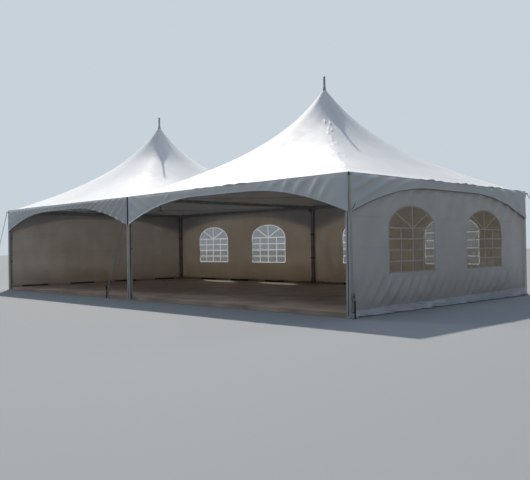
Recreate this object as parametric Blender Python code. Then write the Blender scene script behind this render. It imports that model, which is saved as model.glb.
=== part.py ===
# A marquee tent of two square bays with a tall pointed roof over each, open along the front.
# Metres, +Z up. The origin is the middle of the floor's underside, X runs along the open front
# (seen from the front, +X is on the right) and +Y points to the back wall.

import math

import bmesh
import bpy
from mathutils import Vector

# Driving sizes of the whole tent
BAY_LENGTH = 6.0              # of each bay along the open front, over the fabric
BAY_WIDTH = 6.0               # of each bay from the front to the back
EAVE = 2.2                    # top edge of the canopy's rim
RISE = 2.26                   # from the eave to where the canopy's slope would meet the mast's axis
GAP = 0.0003                  # clearance between pieces that touch
FABRIC = 0.003                # thickness given to the coated fabric
SEAM = 0.002                  # gap between the two canopies, over the middle beam

# Posts, with a groove down each side, a foot and a head plate
POST = 0.08                   # side of the square extrusion
GROOVE_WIDTH = 0.012
GROOVE_DEPTH = 0.010
FOOT = 0.15                   # side of the square base plate
FOOT_THICK = 0.008
HEAD_ARM = 0.17               # reach of a head plate's arm from the post's centre
HEAD_WIDTH = 0.05
HEAD_THICK = 0.008
CABLE_LUG = 0.040             # reach of the cable's lug past the post's inner corner
CABLE_LUG_WIDTH = 0.012
CABLE_LUG_HEIGHT = 0.030

# Eave beams, and the beam between the bays
BEAM_WIDTH = 0.06
BEAM_HEIGHT = 0.07

# Canopy: level rings, round near the mast and square at the eave
CONE_RADIUS = 1.80            # radius that the round cone alone would have at the eave
SPREAD = 2.54                 # how late the rings spread out to the square
RINGS = 9
SIDE_STEPS = 12

# Masts and the crossed cables that carry them
MAST = 0.048                  # diameter
MAST_TIP = 0.26               # from the canopy's apex up to the mast's tip
MAST_FOOT = 0.10              # from the eave down to the mast's foot
MAST_CLEARANCE = 0.003        # between the mast and the canopy's top hole
COLLAR = 0.075                # radius of the cone that pushes the canopy up
COLLAR_CLEARANCE = 0.0008
COLLAR_DEPTH = 0.012
MAST_ROUNDING = 0.012         # height and width of the bevel at the mast's tip
FLANGE = 0.055                # radius of the mast's flange on the cable ring
FLANGE_THICK = 0.010
RING = 0.075                  # radius of the cable ring
RING_THICK = 0.020
RING_CLEARANCE = 0.0010
CABLE = 0.010                 # diameter
CABLE_DROP = 0.030            # from the lugs down to the ring
ROUND = 24                    # sides of a turned piece
CABLE_SIDES = 8

# Valances, with an arched lower edge
VALANCE_DEEP = 0.60           # depth at a post
VALANCE_SHALLOW = 0.15        # depth along the middle of the side
ARCH_RUN = 2.30               # length of the curve, from the post to the level middle
ARCH_STEPS = 9
MIDDLE_SLOT = 0.025           # from the middle post's centre to a valance's end
CORNER_SLOT = 0.050           # from the tent's corner to a valance's end

# Walls, hung between the posts with a beaded edge in their grooves
BEAD_CLEARANCE = 0.0003
WALL_LIFT = 0.0003            # above the base plates
CUT_REACH = 0.05              # of a cutter past what it cuts

# Windows: round-headed, two in each wall but the left one
WINDOW_WIDTH = 1.40
WINDOW_SILL = 0.63
WINDOW_SPRING = 1.37
WINDOW_CROWN = 1.75
WINDOW_OFFSET = 1.25          # of a window's centre from the bay's centre
WINDOW_STEPS = 14

# Floor of raised panels, notched round the posts
FLOOR_TOP = 0.075
FLOOR_GAP = 0.005             # between the floor's edge and the walls

# Straps from the post heads to stakes at the ground
STRAP_WIDTH = 0.035
STRAP_THICK = 0.004
EYE = 0.040                   # width of the plate that a strap hangs from
EYE_THICK = 0.010
EYE_REACH = 0.050             # of the plate's end past the post's corner or face
CORNER_EYE = 0.050            # from the eave down to the underside of a corner's plate
MIDDLE_EYE = 0.140            # and of a middle post's plate
STAKE = 0.025                 # diameter
STAKE_TOP = 0.27
STAKE_HOOK = 0.100            # top of the plate that holds the strap's lower end
HOOK_THICK = 0.012
HOOK_REACH = 0.050            # of the strap's lower end from the stake
STAKE_SIDES = 12
FRONT_LEFT_RUN = 0.390        # of the stake past the tent's corner, along both sides
BACK_RUN = 1.050              # of both back corners' stakes, the same way
FRONT_RIGHT_RUN = 0.120       # of the stake past the corner, along the front
FRONT_RIGHT_SET = 0.050       # and out from the front
MIDDLE_RUN = 0.870            # of a middle post's stake, along the front or out from the back

# Places that follow from the sizes
OUTER = BAY_WIDTH / 2         # from the tent's middle line to the fabric of the front or back
POST_LINE = OUTER - FABRIC - GAP - POST / 2
END_LINE = BAY_LENGTH - FABRIC - GAP - POST / 2
RIM_UNDER = EAVE - FABRIC
POST_TOP = RIM_UNDER - GAP
APEX = EAVE + RISE
CORNER_SLOPE = RISE / (SPREAD * OUTER - (SPREAD - 1) * CONE_RADIUS / math.sqrt(2))
BEAM_INSET = OUTER - POST_LINE - BEAM_WIDTH / 2
BEAM_TOP = RIM_UNDER + BEAM_INSET * CORNER_SLOPE - GAP
BEAM_UNDER = RIM_UNDER - GAP - BEAM_HEIGHT
HEAD_UNDER = BEAM_UNDER - GAP - HEAD_THICK
WALL_TOP = HEAD_UNDER - GAP
WALL_BOTTOM = FOOT_THICK + WALL_LIFT
BEAM_END = POST / 2 + GAP
MAST_X = (BAY_LENGTH + SEAM) / 2
LUG_HEIGHT = BEAM_UNDER + CABLE_LUG_HEIGHT


def clear_scene():
    for thing in list(bpy.data.objects):
        bpy.data.objects.remove(thing, do_unlink=True)


def material(name, colour, roughness, metallic=0.0, alpha=1.0):
    made = bpy.data.materials.new(name)
    made.use_nodes = True
    shader = made.node_tree.nodes["Principled BSDF"]
    shader.inputs["Base Color"].default_value = (*colour, 1.0)
    shader.inputs["Roughness"].default_value = roughness
    shader.inputs["Metallic"].default_value = metallic
    shader.inputs["Alpha"].default_value = alpha
    return made


def mesh_object(name, points, faces, look=None):
    mesh = bpy.data.meshes.new(name)
    mesh.from_pydata([tuple(point) for point in points], [], faces)
    shape = bmesh.new()
    shape.from_mesh(mesh)
    bmesh.ops.recalc_face_normals(shape, faces=shape.faces)
    shape.to_mesh(mesh)
    shape.free()
    made = bpy.data.objects.new(name, mesh)
    bpy.context.scene.collection.objects.link(made)
    if look is not None:
        mesh.materials.append(look)
    return made


def prism(name, outline, start, end, axes, look=None):
    """Extrude a flat outline; axes says where its two coordinates and the extrusion go, as "xyz"."""
    order = ["xyz".index(letter) for letter in axes]
    points = []
    for level in (start, end):
        for across, along in outline:
            point = [0.0, 0.0, 0.0]
            point[order[0]] = across
            point[order[1]] = along
            point[order[2]] = level
            points.append(point)
    count = len(outline)
    faces = [list(range(count)), list(range(count, 2 * count))]
    for corner in range(count):
        after = (corner + 1) % count
        faces.append([corner, after, after + count, corner + count])
    return mesh_object(name, points, faces, look)


def box(name, low, high, look=None):
    outline = [(low[0], low[1]), (high[0], low[1]), (high[0], high[1]), (low[0], high[1])]
    return prism(name, outline, low[2], high[2], "xyz", look)


def turned(name, profile, centre, look=None, sides=ROUND):
    """Turn a closed profile of (radius, height) points, from the axis back to the axis."""
    points = []
    rows = []
    for radius, height in profile:
        if radius == 0:
            rows.append([len(points)] * sides)
            points.append((centre[0], centre[1], height))
            continue
        row = []
        for step in range(sides):
            angle = 2 * math.pi * (step + 0.5) / sides
            row.append(len(points))
            across = radius * math.cos(angle)
            along = radius * math.sin(angle)
            points.append((centre[0] + across, centre[1] + along, height))
        rows.append(row)
    faces = []
    for lower, upper in zip(rows, rows[1:]):
        for step in range(sides):
            after = (step + 1) % sides
            corners = [lower[step], lower[after], upper[after], upper[step]]
            faces.append(list(dict.fromkeys(corners)))
    return mesh_object(name, points, faces, look)


def rod(name, start, end, diameter, sides, look=None):
    """A straight round bar between two points, its flat ends square to it."""
    start = Vector(start)
    end = Vector(end)
    along = (end - start).normalized()
    across = along.cross(Vector((0, 0, 1))).normalized()
    upward = across.cross(along)
    points = []
    for centre in (start, end):
        for step in range(sides):
            angle = 2 * math.pi * (step + 0.5) / sides
            outward = math.cos(angle) * across + math.sin(angle) * upward
            points.append(centre + diameter / 2 * outward)
    faces = [list(range(sides)), list(range(sides, 2 * sides))]
    for step in range(sides):
        after = (step + 1) % sides
        faces.append([step, after, after + sides, step + sides])
    return mesh_object(name, points, faces, look)


def flat_bar(name, start, end, width, low, high):
    """A level plate between two plan points, low and high being its underside and its top."""
    start = Vector(start)
    end = Vector(end)
    side = (end - start).normalized().orthogonal() * width / 2
    outline = [start + side, start - side, end - side, end + side]
    return prism(name, outline, low, high, "xyz")


def combine(target, tools, operation):
    """Join tools to the target, or cut them from it, and keep them out of the model."""
    for tool in tools:
        tool.hide_render = True
        tool.display_type = "WIRE"
        change = target.modifiers.new(f"{operation} {tool.name}", "BOOLEAN")
        change.operation = operation
        change.solver = "EXACT"
        change.object = tool


def grooved_square():
    half = POST / 2
    lip = GROOVE_WIDTH / 2
    floor = half - GROOVE_DEPTH
    side = [(half, -half), (half, -lip), (floor, -lip), (floor, lip), (half, lip)]
    outline = []
    for turn in range(4):
        for across, along in side:
            for _ in range(turn):
                across, along = -along, across
            outline.append((across, along))
    return outline


def head_plate(centre, inward, along):
    """The outline of a head plate's arms: one inward, and one each way in along."""
    half = HEAD_WIDTH / 2
    reach_low = HEAD_ARM if -1 in along else half
    reach_high = HEAD_ARM if 1 in along else half
    outline = [(-reach_low, -half), (reach_high, -half)]
    if 1 in along:
        outline += [(reach_high, half), (half, half)]
    outline += [(half, HEAD_ARM), (-half, HEAD_ARM)]
    if -1 in along:
        outline += [(-half, half), (-reach_low, half)]
    return [(centre[0] + across, centre[1] + inward * forward) for across, forward in outline]


def post(name, right, front, eye_direction, eye_under, look):
    """A post with its base plate, head plate, cable lugs and strap plate, all welded.

    right and front say which post it is, from -1 to 1. The answer is where its strap hangs.
    """
    centre = Vector((right * END_LINE, front * POST_LINE))
    outline = [(centre.x + across, centre.y + along) for across, along in grooved_square()]
    made = prism(name, outline, FOOT_THICK / 2, POST_TOP, "xyz", look)
    half = FOOT / 2
    low = (centre.x - half, centre.y - half, 0)
    high = (centre.x + half, centre.y + half, FOOT_THICK)
    foot = box(f"{name} base", low, high)
    inward = [-right] if right else [-1, 1]
    plate_top = HEAD_UNDER + HEAD_THICK
    plate = prism(f"{name} head", head_plate(centre, -front, inward), HEAD_UNDER, plate_top, "xyz")
    welded = [foot, plate]
    for number, toward in enumerate(inward):
        diagonal = Vector((toward, -front)).normalized()
        reach = POST / math.sqrt(2) + CABLE_LUG
        under = LUG_HEIGHT - CABLE_LUG_HEIGHT / 2
        welded.append(flat_bar(f"{name} lug {number}", centre, centre + reach * diagonal,
                               CABLE_LUG_WIDTH, under, under + CABLE_LUG_HEIGHT))
    direction = Vector(eye_direction).normalized()
    edge = POST / 2 * (abs(direction.x) + abs(direction.y))
    tip = centre + (edge + EYE_REACH) * direction
    welded.append(flat_bar(f"{name} eye", centre, tip, EYE, eye_under, eye_under + EYE_THICK))
    combine(made, welded, "UNION")
    return centre + (edge + EYE_REACH / 2) * direction


def beams(look):
    half = BEAM_WIDTH / 2
    for row, front in (("front", -1), ("back", 1)):
        for side, right in (("left", -1), ("right", 1)):
            ends = sorted((right * BEAM_END, right * (END_LINE - BEAM_END)))
            middle = front * POST_LINE
            low = (ends[0], middle - half, BEAM_UNDER)
            high = (ends[1], middle + half, BEAM_TOP)
            box(f"beam_{row}_{side}", low, high, look)
    reach = POST_LINE - BEAM_END
    crosswise = (("left", -END_LINE, BEAM_TOP), ("middle", 0, POST_TOP), ("right", END_LINE, BEAM_TOP))
    for name, x, top in crosswise:
        box(f"beam_{name}", (x - half, -reach, BEAM_UNDER), (x + half, reach, top), look)


def eave_points(half_length, half_width):
    """Evenly spaced points round the canopy's rim, from one corner."""
    corners = [Vector((half_length, half_width)), Vector((-half_length, half_width)),
               Vector((-half_length, -half_width)), Vector((half_length, -half_width))]
    points = []
    for corner, after in zip(corners, corners[1:] + corners[:1]):
        for step in range(SIDE_STEPS):
            points.append(corner.lerp(after, step / SIDE_STEPS))
    return points


def canopy(name, right, look):
    """A closed skin of level rings, from the hole at the mast down to the square rim."""
    half_length = (BAY_LENGTH - SEAM) / 2
    centre = Vector((right * MAST_X, 0))
    rim = eave_points(half_length, OUTER)
    hole = (MAST / 2 + MAST_CLEARANCE) / CONE_RADIUS
    points = []
    for drop in (0, FABRIC):
        for ring in range(RINGS + 1):
            share = hole + (1 - hole) * ring / RINGS
            height = APEX - RISE * share - drop
            for edge in rim:
                cone = CONE_RADIUS * edge.normalized()
                place = centre + share * cone + share ** SPREAD * (edge - cone)
                points.append((place[0], place[1], height))
    count = len(rim)
    under = count * (RINGS + 1)
    last = count * RINGS
    faces = []
    for step in range(count):
        after = (step + 1) % count
        for start in (0, under):
            for ring in range(RINGS):
                inner = start + ring * count
                outer = inner + count
                faces.append([inner + step, inner + after, outer + after, outer + step])
        for edge in (0, last):
            faces.append([edge + step, under + edge + step, under + edge + after, edge + after])
    mesh_object(name, points, faces, look)


def mast(name, x, look):
    """The pole: a flange near its foot, a cone that carries the canopy, and a bare tip above."""
    radius = MAST / 2
    slope = RISE / CONE_RADIUS
    collar_top = radius + MAST_CLEARANCE

    def under_canopy(from_axis):
        return APEX - FABRIC - COLLAR_CLEARANCE - slope * from_axis

    ring_top = LUG_HEIGHT - CABLE_DROP + RING_THICK / 2
    flange = ring_top + GAP
    flange_top = flange + FLANGE_THICK
    foot = EAVE - MAST_FOOT
    tip = APEX + MAST_TIP
    collar_low = under_canopy(COLLAR) - COLLAR_DEPTH
    profile = [(0, foot), (radius, foot), (radius, flange), (FLANGE, flange)]
    profile += [(FLANGE, flange_top), (radius, flange_top + FLANGE_THICK)]
    profile += [(radius, collar_low - COLLAR), (COLLAR, collar_low), (COLLAR, under_canopy(COLLAR))]
    profile += [(collar_top, under_canopy(collar_top)), (radius, under_canopy(collar_top))]
    profile += [(radius, tip - MAST_ROUNDING), (radius - MAST_ROUNDING, tip), (0, tip)]
    turned(name, profile, (x, 0), look)


def cable_cross(name, x, look):
    """Four cables from a post's lug each to the ring that the mast stands in, as one piece."""
    height = LUG_HEIGHT - CABLE_DROP
    low = height - RING_THICK / 2
    high = height + RING_THICK / 2
    made = turned(name, [(0, low), (RING, low), (RING, high), (0, high)], (x, 0), look)
    cables = []
    near_x = 0
    far_x = math.copysign(END_LINE, x)
    for number, (post_x, front) in enumerate(((near_x, -1), (near_x, 1), (far_x, -1), (far_x, 1))):
        inward = Vector((1 if post_x < x else -1, -front)).normalized()
        reach = POST / math.sqrt(2) + CABLE_LUG + GAP
        lug_end = Vector((post_x, front * POST_LINE)) + reach * inward
        away = (lug_end - Vector((x, 0))).normalized()
        inner = Vector((x, 0)) + (RING - CABLE) * away
        ends = ((*inner, height), (*lug_end, LUG_HEIGHT))
        cables.append(rod(f"{name} cable {number}", *ends, CABLE, CABLE_SIDES))
    combine(made, cables, "UNION")
    radius = MAST / 2 + RING_CLEARANCE
    low -= CUT_REACH
    high += CUT_REACH
    hole = turned(f"{name} hole", [(0, low), (radius, low), (radius, high), (0, high)], (x, 0))
    combine(made, [hole], "DIFFERENCE")


def valance_depth(from_post):
    share = max(0.0, 1 - from_post / ARCH_RUN)
    return VALANCE_SHALLOW + (VALANCE_DEEP - VALANCE_SHALLOW) * share ** 2


def valance(name, start, end, first_post, second_post, plane, axes, look):
    """An upright strip from start to end whose lower edge arches between the two post lines."""
    stations = []
    for step in range(ARCH_STEPS + 1):
        run = ARCH_RUN * step / ARCH_STEPS
        stations.append(max(start, first_post + run))
        stations.append(min(end, second_post - run))
    stations = sorted(set(stations))
    top = RIM_UNDER - GAP
    outline = [(start, top)]
    for station in stations:
        nearest = min(station - first_post, second_post - station)
        outline.append((station, EAVE - valance_depth(nearest)))
    outline.append((end, top))
    inner, outer = sorted(plane)
    prism(name, outline, inner, outer, axes, look)


def valances(look):
    for row, front in (("front", -1), ("back", 1)):
        plane = (front * OUTER, front * (OUTER - FABRIC))
        end = BAY_LENGTH - CORNER_SLOT
        valance(f"valance_{row}_left", -end, -MIDDLE_SLOT, -BAY_LENGTH, 0, plane, "xzy", look)
        valance(f"valance_{row}_right", MIDDLE_SLOT, end, 0, BAY_LENGTH, plane, "xzy", look)
    reach = OUTER - CORNER_SLOT
    for side, right in (("left", -1), ("right", 1)):
        plane = (right * BAY_LENGTH, right * (BAY_LENGTH - FABRIC))
        valance(f"valance_{side}", -reach, reach, -OUTER, OUTER, plane, "yzx", look)


def window_outline(centre, clearance):
    """A round-headed outline, drawn in by the clearance all round."""
    half = WINDOW_WIDTH / 2 - clearance
    rise = WINDOW_CROWN - WINDOW_SPRING - clearance
    outline = [(centre - half, WINDOW_SILL + clearance), (centre + half, WINDOW_SILL + clearance)]
    for step in range(WINDOW_STEPS + 1):
        angle = math.pi * step / WINDOW_STEPS
        outline.append((centre + half * math.cos(angle), WINDOW_SPRING + rise * math.sin(angle)))
    return outline


def wall(name, start, end, middle, along, windows, look, film):
    """A sheet between two posts, beaded at both edges, with a clear film in each window."""
    axes = {"x": "xyz", "y": "yxz"}[along]
    bead = GROOVE_WIDTH / 2 - BEAD_CLEARANCE
    bead_depth = GROOVE_DEPTH - 2 * BEAD_CLEARANCE
    sheet = FABRIC / 2
    low = start - GROOVE_DEPTH + BEAD_CLEARANCE
    high = end + GROOVE_DEPTH - BEAD_CLEARANCE
    first = low + bead_depth
    last = high - bead_depth
    near = [(low, -bead), (first, -bead), (first, -sheet), (last, -sheet), (last, -bead), (high, -bead)]
    far = [(run, -across) for run, across in reversed(near)]
    outline = [(run, middle + across) for run, across in near + far]
    made = prism(name, outline, WALL_BOTTOM, WALL_TOP, axes, look)
    upright = {"x": "xzy", "y": "yzx"}[along]
    cuts = []
    for label, centre in windows:
        cuts.append(prism(f"{name} {label} cut", window_outline(centre, 0),
                          middle - CUT_REACH, middle + CUT_REACH, upright))
        prism(label, window_outline(centre, GAP), middle - sheet, middle + sheet, upright, film)
    combine(made, cuts, "DIFFERENCE")


def walls(look, film):
    reach = POST_LINE - POST / 2
    wall("wall_left", -reach, reach, -END_LINE, "y", [], look, film)
    pair = [("window_right_front", -WINDOW_OFFSET), ("window_right_back", WINDOW_OFFSET)]
    wall("wall_right", -reach, reach, END_LINE, "y", pair, look, film)
    for side, right in (("left", -1), ("right", 1)):
        ends = sorted((right * POST / 2, right * (END_LINE - POST / 2)))
        centre = right * MAST_X
        pair = [(f"window_back_{side}_outer", centre + right * WINDOW_OFFSET),
                (f"window_back_{side}_inner", centre - right * WINDOW_OFFSET)]
        wall(f"wall_back_{side}", ends[0], ends[1], POST_LINE, "x", pair, look, film)


def floor(look):
    """One raised deck between the walls, notched round the six base plates."""
    half_length = END_LINE - FABRIC / 2 - FLOOR_GAP
    half_width = POST_LINE - FABRIC / 2 - FLOOR_GAP
    notch = FOOT / 2 + GAP
    inner_x = END_LINE - notch
    inner_y = POST_LINE - notch
    back = [(half_length, inner_y), (inner_x, inner_y), (inner_x, half_width),
            (notch, half_width), (notch, inner_y), (-notch, inner_y), (-notch, half_width),
            (-inner_x, half_width), (-inner_x, inner_y), (-half_length, inner_y)]
    front = [(-x, -y) for x, y in back]
    prism("floor", back + front, 0, FLOOR_TOP, "xyz", look)


def strap(name, hold, hang, low, high, look):
    """A flat taut strap, level at both ends, its width square to the way it leans."""
    lean = (hang - hold).normalized()
    across = lean.orthogonal() * STRAP_WIDTH / 2
    thin = lean * STRAP_THICK / 2
    points = []
    for centre, height in ((hold, low), (hang, high)):
        for corner in (across + thin, thin - across, -thin - across, across - thin):
            points.append((*(centre + corner), height))
    faces = [[0, 1, 2, 3], [4, 5, 6, 7], [0, 1, 5, 4], [1, 2, 6, 5], [2, 3, 7, 6], [3, 0, 4, 7]]
    mesh_object(name, points, faces, look)


def anchor(place, stake, hang, eye_under, strap_look, stake_look):
    """A stake with its hook plate, and the strap from the plate up to the post's."""
    toward = (hang - stake).normalized()
    hold = stake + HOOK_REACH * toward
    strap(f"strap_{place}", hold, hang, STAKE_HOOK, eye_under - GAP, strap_look)
    pin = [(0, 0), (STAKE / 2, 0), (STAKE / 2, STAKE_TOP), (0, STAKE_TOP)]
    made = turned(f"stake_{place}", pin, stake, stake_look, STAKE_SIDES)
    hook_top = STAKE_HOOK - GAP
    hook = flat_bar(f"stake_{place} hook", stake, hold + STRAP_THICK * toward, STRAP_WIDTH,
                    hook_top - HOOK_THICK, hook_top)
    combine(made, [hook], "UNION")


def posts_and_anchors(metal, webbing, dark_metal):
    """Each post with its own strap and stake: where the plate points, its drop, and the stake."""
    front_left_stake = (-BAY_LENGTH - FRONT_LEFT_RUN, -OUTER - FRONT_LEFT_RUN)
    front_right_stake = (BAY_LENGTH + FRONT_RIGHT_RUN, -OUTER - FRONT_RIGHT_SET)
    back_stake = Vector((BAY_LENGTH + BACK_RUN, OUTER + BACK_RUN))
    places = {
        "front_left": (-1, -1, (-1, -1), CORNER_EYE, front_left_stake),
        "front_middle": (0, -1, (-1, 0), MIDDLE_EYE, (-MIDDLE_RUN, -OUTER)),
        "front_right": (1, -1, (1, -1), CORNER_EYE, front_right_stake),
        "back_left": (-1, 1, (-1, 1), CORNER_EYE, (-back_stake.x, back_stake.y)),
        "back_middle": (0, 1, (0, 1), MIDDLE_EYE, (0, OUTER + MIDDLE_RUN)),
        "back_right": (1, 1, (1, 1), CORNER_EYE, back_stake),
    }
    for place, (right, front, eye_direction, eye_drop, stake) in places.items():
        eye_under = EAVE - eye_drop
        hang = post(f"post_{place}", right, front, eye_direction, eye_under, metal)
        anchor(place, Vector(stake), hang, eye_under, webbing, dark_metal)


def build():
    clear_scene()
    fabric = material("fabric", (0.80, 0.82, 0.83), 0.55)
    wall_fabric = material("wall fabric", (0.70, 0.72, 0.73), 0.60)
    film = material("window film", (0.75, 0.85, 0.88), 0.08, alpha=0.35)
    aluminium = material("aluminium", (0.62, 0.64, 0.66), 0.38, 0.9)
    steel = material("steel", (0.45, 0.46, 0.48), 0.40, 1.0)
    webbing = material("webbing", (0.60, 0.61, 0.58), 0.80)
    dark_steel = material("dark steel", (0.05, 0.05, 0.06), 0.55, 0.8)
    timber = material("timber", (0.20, 0.16, 0.13), 0.55)

    floor(timber)
    posts_and_anchors(aluminium, webbing, dark_steel)
    beams(aluminium)
    for name, right in (("left", -1), ("right", 1)):
        mast(f"mast_{name}", right * MAST_X, aluminium)
        cable_cross(f"cable_cross_{name}", right * MAST_X, steel)
        canopy(f"canopy_{name}", right, fabric)
    valances(fabric)
    walls(wall_fabric, film)


build()
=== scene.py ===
# %% [markdown]
# # Dressing a two-bay marquee
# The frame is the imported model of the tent: posts, beams, masts, stakes and plain fabric solids.
# This lesson puts real cloth, windows, boards and fittings on it. Each piece of cloth is a surface:
# a height or a depth worked out by numpy for every point of a grid at once, which keeps its folds
# under control and gives the same result on every run.

# %% Load the frame
import math

import bpy
import numpy as np
from mathutils import Matrix


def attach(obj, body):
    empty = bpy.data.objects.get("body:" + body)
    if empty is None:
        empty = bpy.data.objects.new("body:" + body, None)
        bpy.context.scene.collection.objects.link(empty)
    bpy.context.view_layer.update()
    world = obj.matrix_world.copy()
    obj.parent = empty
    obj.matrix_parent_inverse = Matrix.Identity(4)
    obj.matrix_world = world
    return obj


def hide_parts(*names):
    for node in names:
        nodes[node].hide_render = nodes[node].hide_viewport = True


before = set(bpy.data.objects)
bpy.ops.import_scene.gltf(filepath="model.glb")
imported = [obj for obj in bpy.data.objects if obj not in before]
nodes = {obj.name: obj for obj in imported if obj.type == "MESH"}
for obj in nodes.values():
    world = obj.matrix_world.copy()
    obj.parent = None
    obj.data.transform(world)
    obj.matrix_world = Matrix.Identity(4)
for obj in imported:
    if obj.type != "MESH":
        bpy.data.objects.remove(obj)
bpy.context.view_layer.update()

# %% [markdown]
# ## Sizes shared with the frame
# Cloth has to meet the solids that it stands for, so the sizes that shape them are written again
# here, in metres. Nothing is read from the part's source.

# %% Sizes of the tent
BAY = 6.0                 # side of each square bay
OUTER = 3.0               # from the middle line to the cloth of the front and the back
EAVE = 2.2
HALF_BAY = 2.999          # half of a canopy's length
MAST_X = 3.001
POST_LINE = 2.9567        # y of the front and back posts
END_LINE = 5.9567         # x of the end posts
POST = 0.08
FLOOR_TOP = 0.075
CLOTH = 0.0015            # thickness that the cloth is drawn with
UP = np.array([0, 0, 1.0])
print("bays:", BAY, "m, eave:", EAVE, "m, masts", 2 * MAST_X, "m apart")

# %% [markdown]
# ## Meshes from arrays
# A grid of points becomes a mesh when each point is joined to its neighbours. Blender could add a
# grid and bend it, but numbers worked out one by one stay exact. One function numbers the quads of a
# grid, and another closes a tube of rings at both ends.

# %% Faces of grids and tubes
def grid_faces(rows, columns, ring=False):
    """Quads between neighbours on rows by columns; a ring joins the last column to the first."""
    across = np.arange(columns if ring else columns - 1)
    row, column = np.meshgrid(np.arange(rows - 1), across, indexing="ij")
    beside = (column + 1) % columns
    corners = [row * columns + column, (row + 1) * columns + column,
               (row + 1) * columns + beside, row * columns + beside]
    return np.stack(corners, axis=-1).reshape(-1, 4)


def tube_faces(rings, count, flip=False):
    """Faces of a tube of rings of count points, with both ends closed; flip turns them all round."""
    faces = grid_faces(rings, count, ring=True).tolist()
    last = (rings - 1) * count
    faces += [list(range(count)), [last + corner for corner in reversed(range(count))]]
    return [face[::-1] for face in faces] if flip else faces


print("a box as a tube of two rings:", len(tube_faces(2, 4)), "faces")

# %% [markdown]
# ## Pieces
# A piece is one mesh object, made of any number of parts. Its points already hold their place in
# the tent, so the object stays at the origin. Thin cloth gets its thickness from the Solidify
# modifier, which is lighter to change than two faces modelled by hand.

# %% Pieces from parts
def flat(parts):
    """Join parts, each a pair of points and faces, into one pair."""
    points = []
    faces = []
    count = 0
    for part_points, part_faces in parts:
        part_points = np.asarray(part_points, float).reshape(-1, 3)
        points.append(part_points)
        for face in np.asarray(part_faces, dtype=object).tolist():
            faces.append([corner + count for corner in face])
        count += len(part_points)
    return np.concatenate(points), faces


def welded(points, faces, uv):
    """Points closer than a hundredth of a millimetre become one, so shading runs over a seam."""
    _, first, same = np.unique(np.round(points, 5), axis=0, return_index=True, return_inverse=True)
    same = same.reshape(-1).tolist()
    return points[first], [[same[corner] for corner in face] for face in faces], uv[first]


def piece(name, parts, look, slot=None, stands_for=(), uv=None, smooth=True, thick=0.0, offset=0.0,
          weld=False):
    """Make a mesh object of the parts, give it its finish and let it ride on the tent."""
    points, faces = flat(parts)
    if weld:
        points, faces, uv = welded(points, faces, uv)
    mesh = bpy.data.meshes.new(name)
    mesh.from_pydata(points.tolist(), [], faces)
    mesh.polygons.foreach_set("use_smooth", [smooth] * len(mesh.polygons))
    if uv is not None:
        corner = np.zeros(len(mesh.loops), np.int32)
        mesh.loops.foreach_get("vertex_index", corner)
        layer = mesh.uv_layers.new(name="cloth")
        layer.data.foreach_set("uv", np.asarray(uv, np.float32).reshape(-1, 2)[corner].ravel())
    mesh.materials.append(look)
    mesh.update()
    made = bpy.data.objects.new(name, mesh)
    bpy.context.scene.collection.objects.link(made)
    if thick:
        shell = made.modifiers.new("cloth thickness", "SOLIDIFY")
        shell.thickness = thick
        shell.offset = offset
    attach(made, "root")
    if stands_for:
        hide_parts(*stands_for)
    print(name, len(mesh.vertices), "points")
    return made


# %% [markdown]
# ## Profiles carried along a path
# Bars, cords, screws and bolts are short profiles carried along a line or turned round an axis.
# A curve object with a bevel would do the same; here the rings are arrays, so their ends are
# closed and their faces all point outwards.

# %% Sweeps and turned parts
def unit(vectors):
    """Vectors of length one along the last axis."""
    vectors = np.asarray(vectors, float)
    return vectors / np.linalg.norm(vectors, axis=-1, keepdims=True)


def sweep(outline, path, up=UP):
    """Point = path + x of the outline to the side + y of it upwards, for a closed outline."""
    outline = np.asarray(outline, float)
    path = np.asarray(path, float)
    along = unit(np.gradient(path, axis=0))
    side = unit(np.cross(along, np.broadcast_to(np.asarray(up, float), along.shape)))
    rise = np.cross(side, along)
    points = path[:, None] + outline[None, :, :1] * side[:, None] + outline[None, :, 1:] * rise[:, None]
    return points.reshape(-1, 3), tube_faces(len(path), len(outline))


def circle(sides):
    """Angle n of 360 degrees / sides, as its cosine and sine."""
    angle = 2 * np.pi * np.arange(sides) / sides
    return np.stack([np.cos(angle), np.sin(angle)], axis=-1)


def round_outline(radius, sides=10):
    """A circle as an outline."""
    return radius * circle(sides)


def box_outline(width, height, cut):
    """A rectangle with its corners cut, as an outline."""
    x = width / 2
    y = height / 2
    return [(-x, -y + cut), (-x + cut, -y), (x - cut, -y), (x, -y + cut),
            (x, y - cut), (x - cut, y), (-x + cut, y), (-x, y - cut)]


def lathe(profile, centre, sides=28):
    """Point = centre + radius x (cosine, sine) + height upwards, for a profile of (radius, height)."""
    profile = np.asarray(profile, float)
    ring = np.column_stack([circle(sides), np.zeros(sides)])
    points = profile[:, None, :1] * ring[None] + profile[:, None, 1:] * UP
    return points.reshape(-1, 3) + np.asarray(centre, float), tube_faces(len(profile), sides, flip=True)


print("a bolt's head has", len(lathe([(1, 0), (1, 1)], (0, 0, 0), 6)[1]), "faces")

# %% [markdown]
# ## Unevenness
# Real cloth is never even. Sums of sine waves with seeded directions give soft unevenness that is
# the same on every run, and a smooth step fades a fold out where the cloth is held.

# %% Ripples and ramps
WAVES = 7                 # waves in a ripple


def ripple(u, v, length, seed):
    """From -1 to 1: a sum of sine waves of about one length in seeded directions."""
    chance = np.random.default_rng(seed)
    angles = chance.uniform(0, 2 * np.pi, WAVES)
    starts = chance.uniform(0, 2 * np.pi, WAVES)
    lengths = length * chance.uniform(0.7, 1.5, WAVES)
    total = np.zeros(np.broadcast(u, v).shape)
    for angle, start, wave in zip(angles, starts, lengths):
        total = total + np.sin(2 * np.pi * (u * math.cos(angle) + v * math.sin(angle)) / wave + start)
    return total / WAVES * 1.6


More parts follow.
